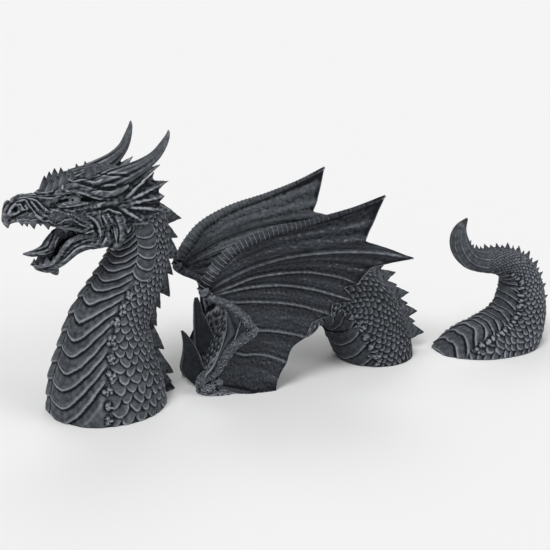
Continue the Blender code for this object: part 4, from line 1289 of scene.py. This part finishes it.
def carveHead(mesh):
    # moves the clay under every stroke, marks the pebbled places and returns where the eye is
    toLocal = castingPlace("neck", headTurn).inverted()
    points, normals = readPoints(mesh), readNormals(mesh)
    skin = BVHTree.FromPolygons(points.tolist(), [list(face.vertices) for face in mesh.polygons])
    near = nearTree(points.tolist())
    lift, studs = np.zeros(len(points)), np.zeros(len(points))
    for height, width, line in strokes:
        deeper, wider = strokeScale["raised" if height > 0 else "cut"]
        trace = traceStroke(skin, line, toLocal)
        lift += height * deeper * strokeWeights(points, normals, near, trace, width * wider)
    for width, line in pebbled:
        trace = traceStroke(skin, line, toLocal)
        studs = np.maximum(studs, strokeWeights(points, normals, near, trace, width))
    writePoints(mesh, points + normals * lift[:, None])
    writeValues(mesh, "studs", studs)
    hit, normal, index, distance = skin.ray_cast(*photoRay(fromZoom(eye["at"]), toLocal))
    return hit, normal


def eyesMesh(hit, normal):
    # a ball in each socket with a ring round the iris and a pit for the pupil; the ring's groove and the
    # pupil's pit are marked darker as painted shade
    bm = bmesh.new()
    for side in (1, -1):
        out = Vector((normal.x, normal.y * side, normal.z)).normalized()
        centre = Vector((hit.x, hit.y * side, hit.z)) - out * eye["sunk"]
        look = (out + Vector(eye["look"])).normalized()
        ball = bmesh.new()
        bmesh.ops.create_uvsphere(ball, u_segments=40, v_segments=28, radius=eye["radius"])
        ball.transform(look.to_track_quat("Z", "Y").to_matrix().to_4x4())
        marks = []
        for vert in ball.verts:
            apart = vert.co.normalized().angle(look)
            iris = bulge(apart, eye["iris"], 0.06)
            pupil = math.exp(-(apart / eye["pupil"]) ** 4)
            # the iris groove and the pupil pit are marked dark: painted shade
            marks.append(0.8 - 0.35 * iris - 0.8 * pupil)
            vert.co -= vert.co.normalized() * (0.25 * iris + 1.2 * pupil)
        bmesh.ops.translate(ball, verts=ball.verts, vec=centre)
        loose = bakeMesh(ball, "ball")
        writeValues(loose, "raised", marks)
        addMesh(bm, loose)
    return bakeMesh(bm, "eyes")


def awayFromHorns(mesh):
    # 1 all over the head and little on the long horns, which are smoother
    line = np.array(smoothPath(head["horn"], 80))[24:]
    near = nearTree(line[:, :3].tolist())
    found = [near.find((x, abs(y), z)) for x, y, z in readPoints(mesh).tolist()]
    return np.array([0.2 if distance < 1.5 * line[index, 3] + 1 else 1.0 for place, index, distance in found])


skull = headClay()
bare = awayFromHorns(skull)
roughen(skull, 0.5, 6.0, seed=4.0, share=bare)
eyeSpot, eyeFacing = carveHead(skull)
roughen(skull, 0.4, 5.0, (0.5, 1.1, 1.1), seed=5.0, creased=True, share=bare)
pebbles = dict(warts, Spacing=1.5, Density=0.5, Size=1.25, Uneven=0.3, Flatness=0.55, Seed=11)
facePebbles = growMesh("facePebbles", skull.copy(), studTree(), pebbles)
finishPiece("headSculpt", skull, "neck", shadeAndHighlightHeadResin, headTurn, scale=0.44, broad=0.6)
finishPiece("facePebbles", facePebbles, "neck", shadeAndHighlightHeadResin, headTurn, rounds=2, scale=0.5)
finishPiece("eyes", eyesMesh(eyeSpot, eyeFacing), "neck", eyeResin, headTurn)
single = thornTree(False)
teeth = {"Count": 1, "Width": 0.60, "Flatness": 1.0, "Every second": 1.0, "Uneven": 0.05, "Curl": -0.05,
         "Seed": 2, "Material": resin}
crest = dict(teeth, Width=0.58, Curl=-0.3, Flatness=0.5)
for name, rows, values in (("teeth", toothRows(), teeth), ("crestThorns", crestRows(), crest)):
    grown = growMesh(name, thornPoints(rows), single, values)
    finishPiece(name, grown, "neck", resin, headTurn, rounds=2, scale=0.3)

# the setting: pale floor, soft studio light, and the photograph's camera

studio = {"floor": (0.86, 0.86, 0.86, 1), "sky": 0.40,
          # each lamp: the side it shines from, strength, and how wide it spreads in degrees
          "lamps": [((-0.9, -0.8, 1.4), 1.65, 24.0), ((1.0, -0.9, 0.7), 0.95, 40.0),
                    ((0.3, 1.0, 1.2), 0.5, 30.0)]}

bpy.ops.mesh.primitive_plane_add(size=60.0, location=(0, 0, -0.0002))
floor = bpy.context.object
floor.name = "floor"
pale = bpy.data.materials.new("paleFloor")
pale.use_nodes = True
matt = pale.node_tree.nodes["Principled BSDF"].inputs
matt["Base Color"].default_value = studio["floor"]
matt["Roughness"].default_value = 0.9
matt["Specular IOR Level"].default_value = 0.0
floor.data.materials.append(pale)

world = bpy.data.worlds.new("studio")
world.use_nodes = True
sky = world.node_tree.nodes["Background"].inputs
sky["Color"].default_value = (1, 1, 1, 1)
sky["Strength"].default_value = studio["sky"]
bpy.context.scene.world = world
bpy.context.scene.view_settings.view_transform = "Standard"

for number, (shinesFrom, strength, spread) in enumerate(studio["lamps"]):
    light = bpy.data.lights.new("lamp%d" % number, "SUN")
    light.energy = strength
    light.angle = math.radians(spread)
    lamp = linked("lamp%d" % number, light)
    lamp.location = shinesFrom
    lamp.rotation_euler = Vector(shinesFrom).to_track_quat("Z", "Y").to_euler()

lens = bpy.data.cameras.new("camera")
lens.sensor_width = 36.0
lens.lens = 36.0 * photoView["focal"] / photoView["frame"]
camera = linked("camera", lens)
camera.location = photoView["place"]
camera.rotation_euler = (math.radians(90 - photoView["down"]), 0.0, math.radians(-photoView["right"]))
bpy.context.scene.camera = camera
print("set the studio")
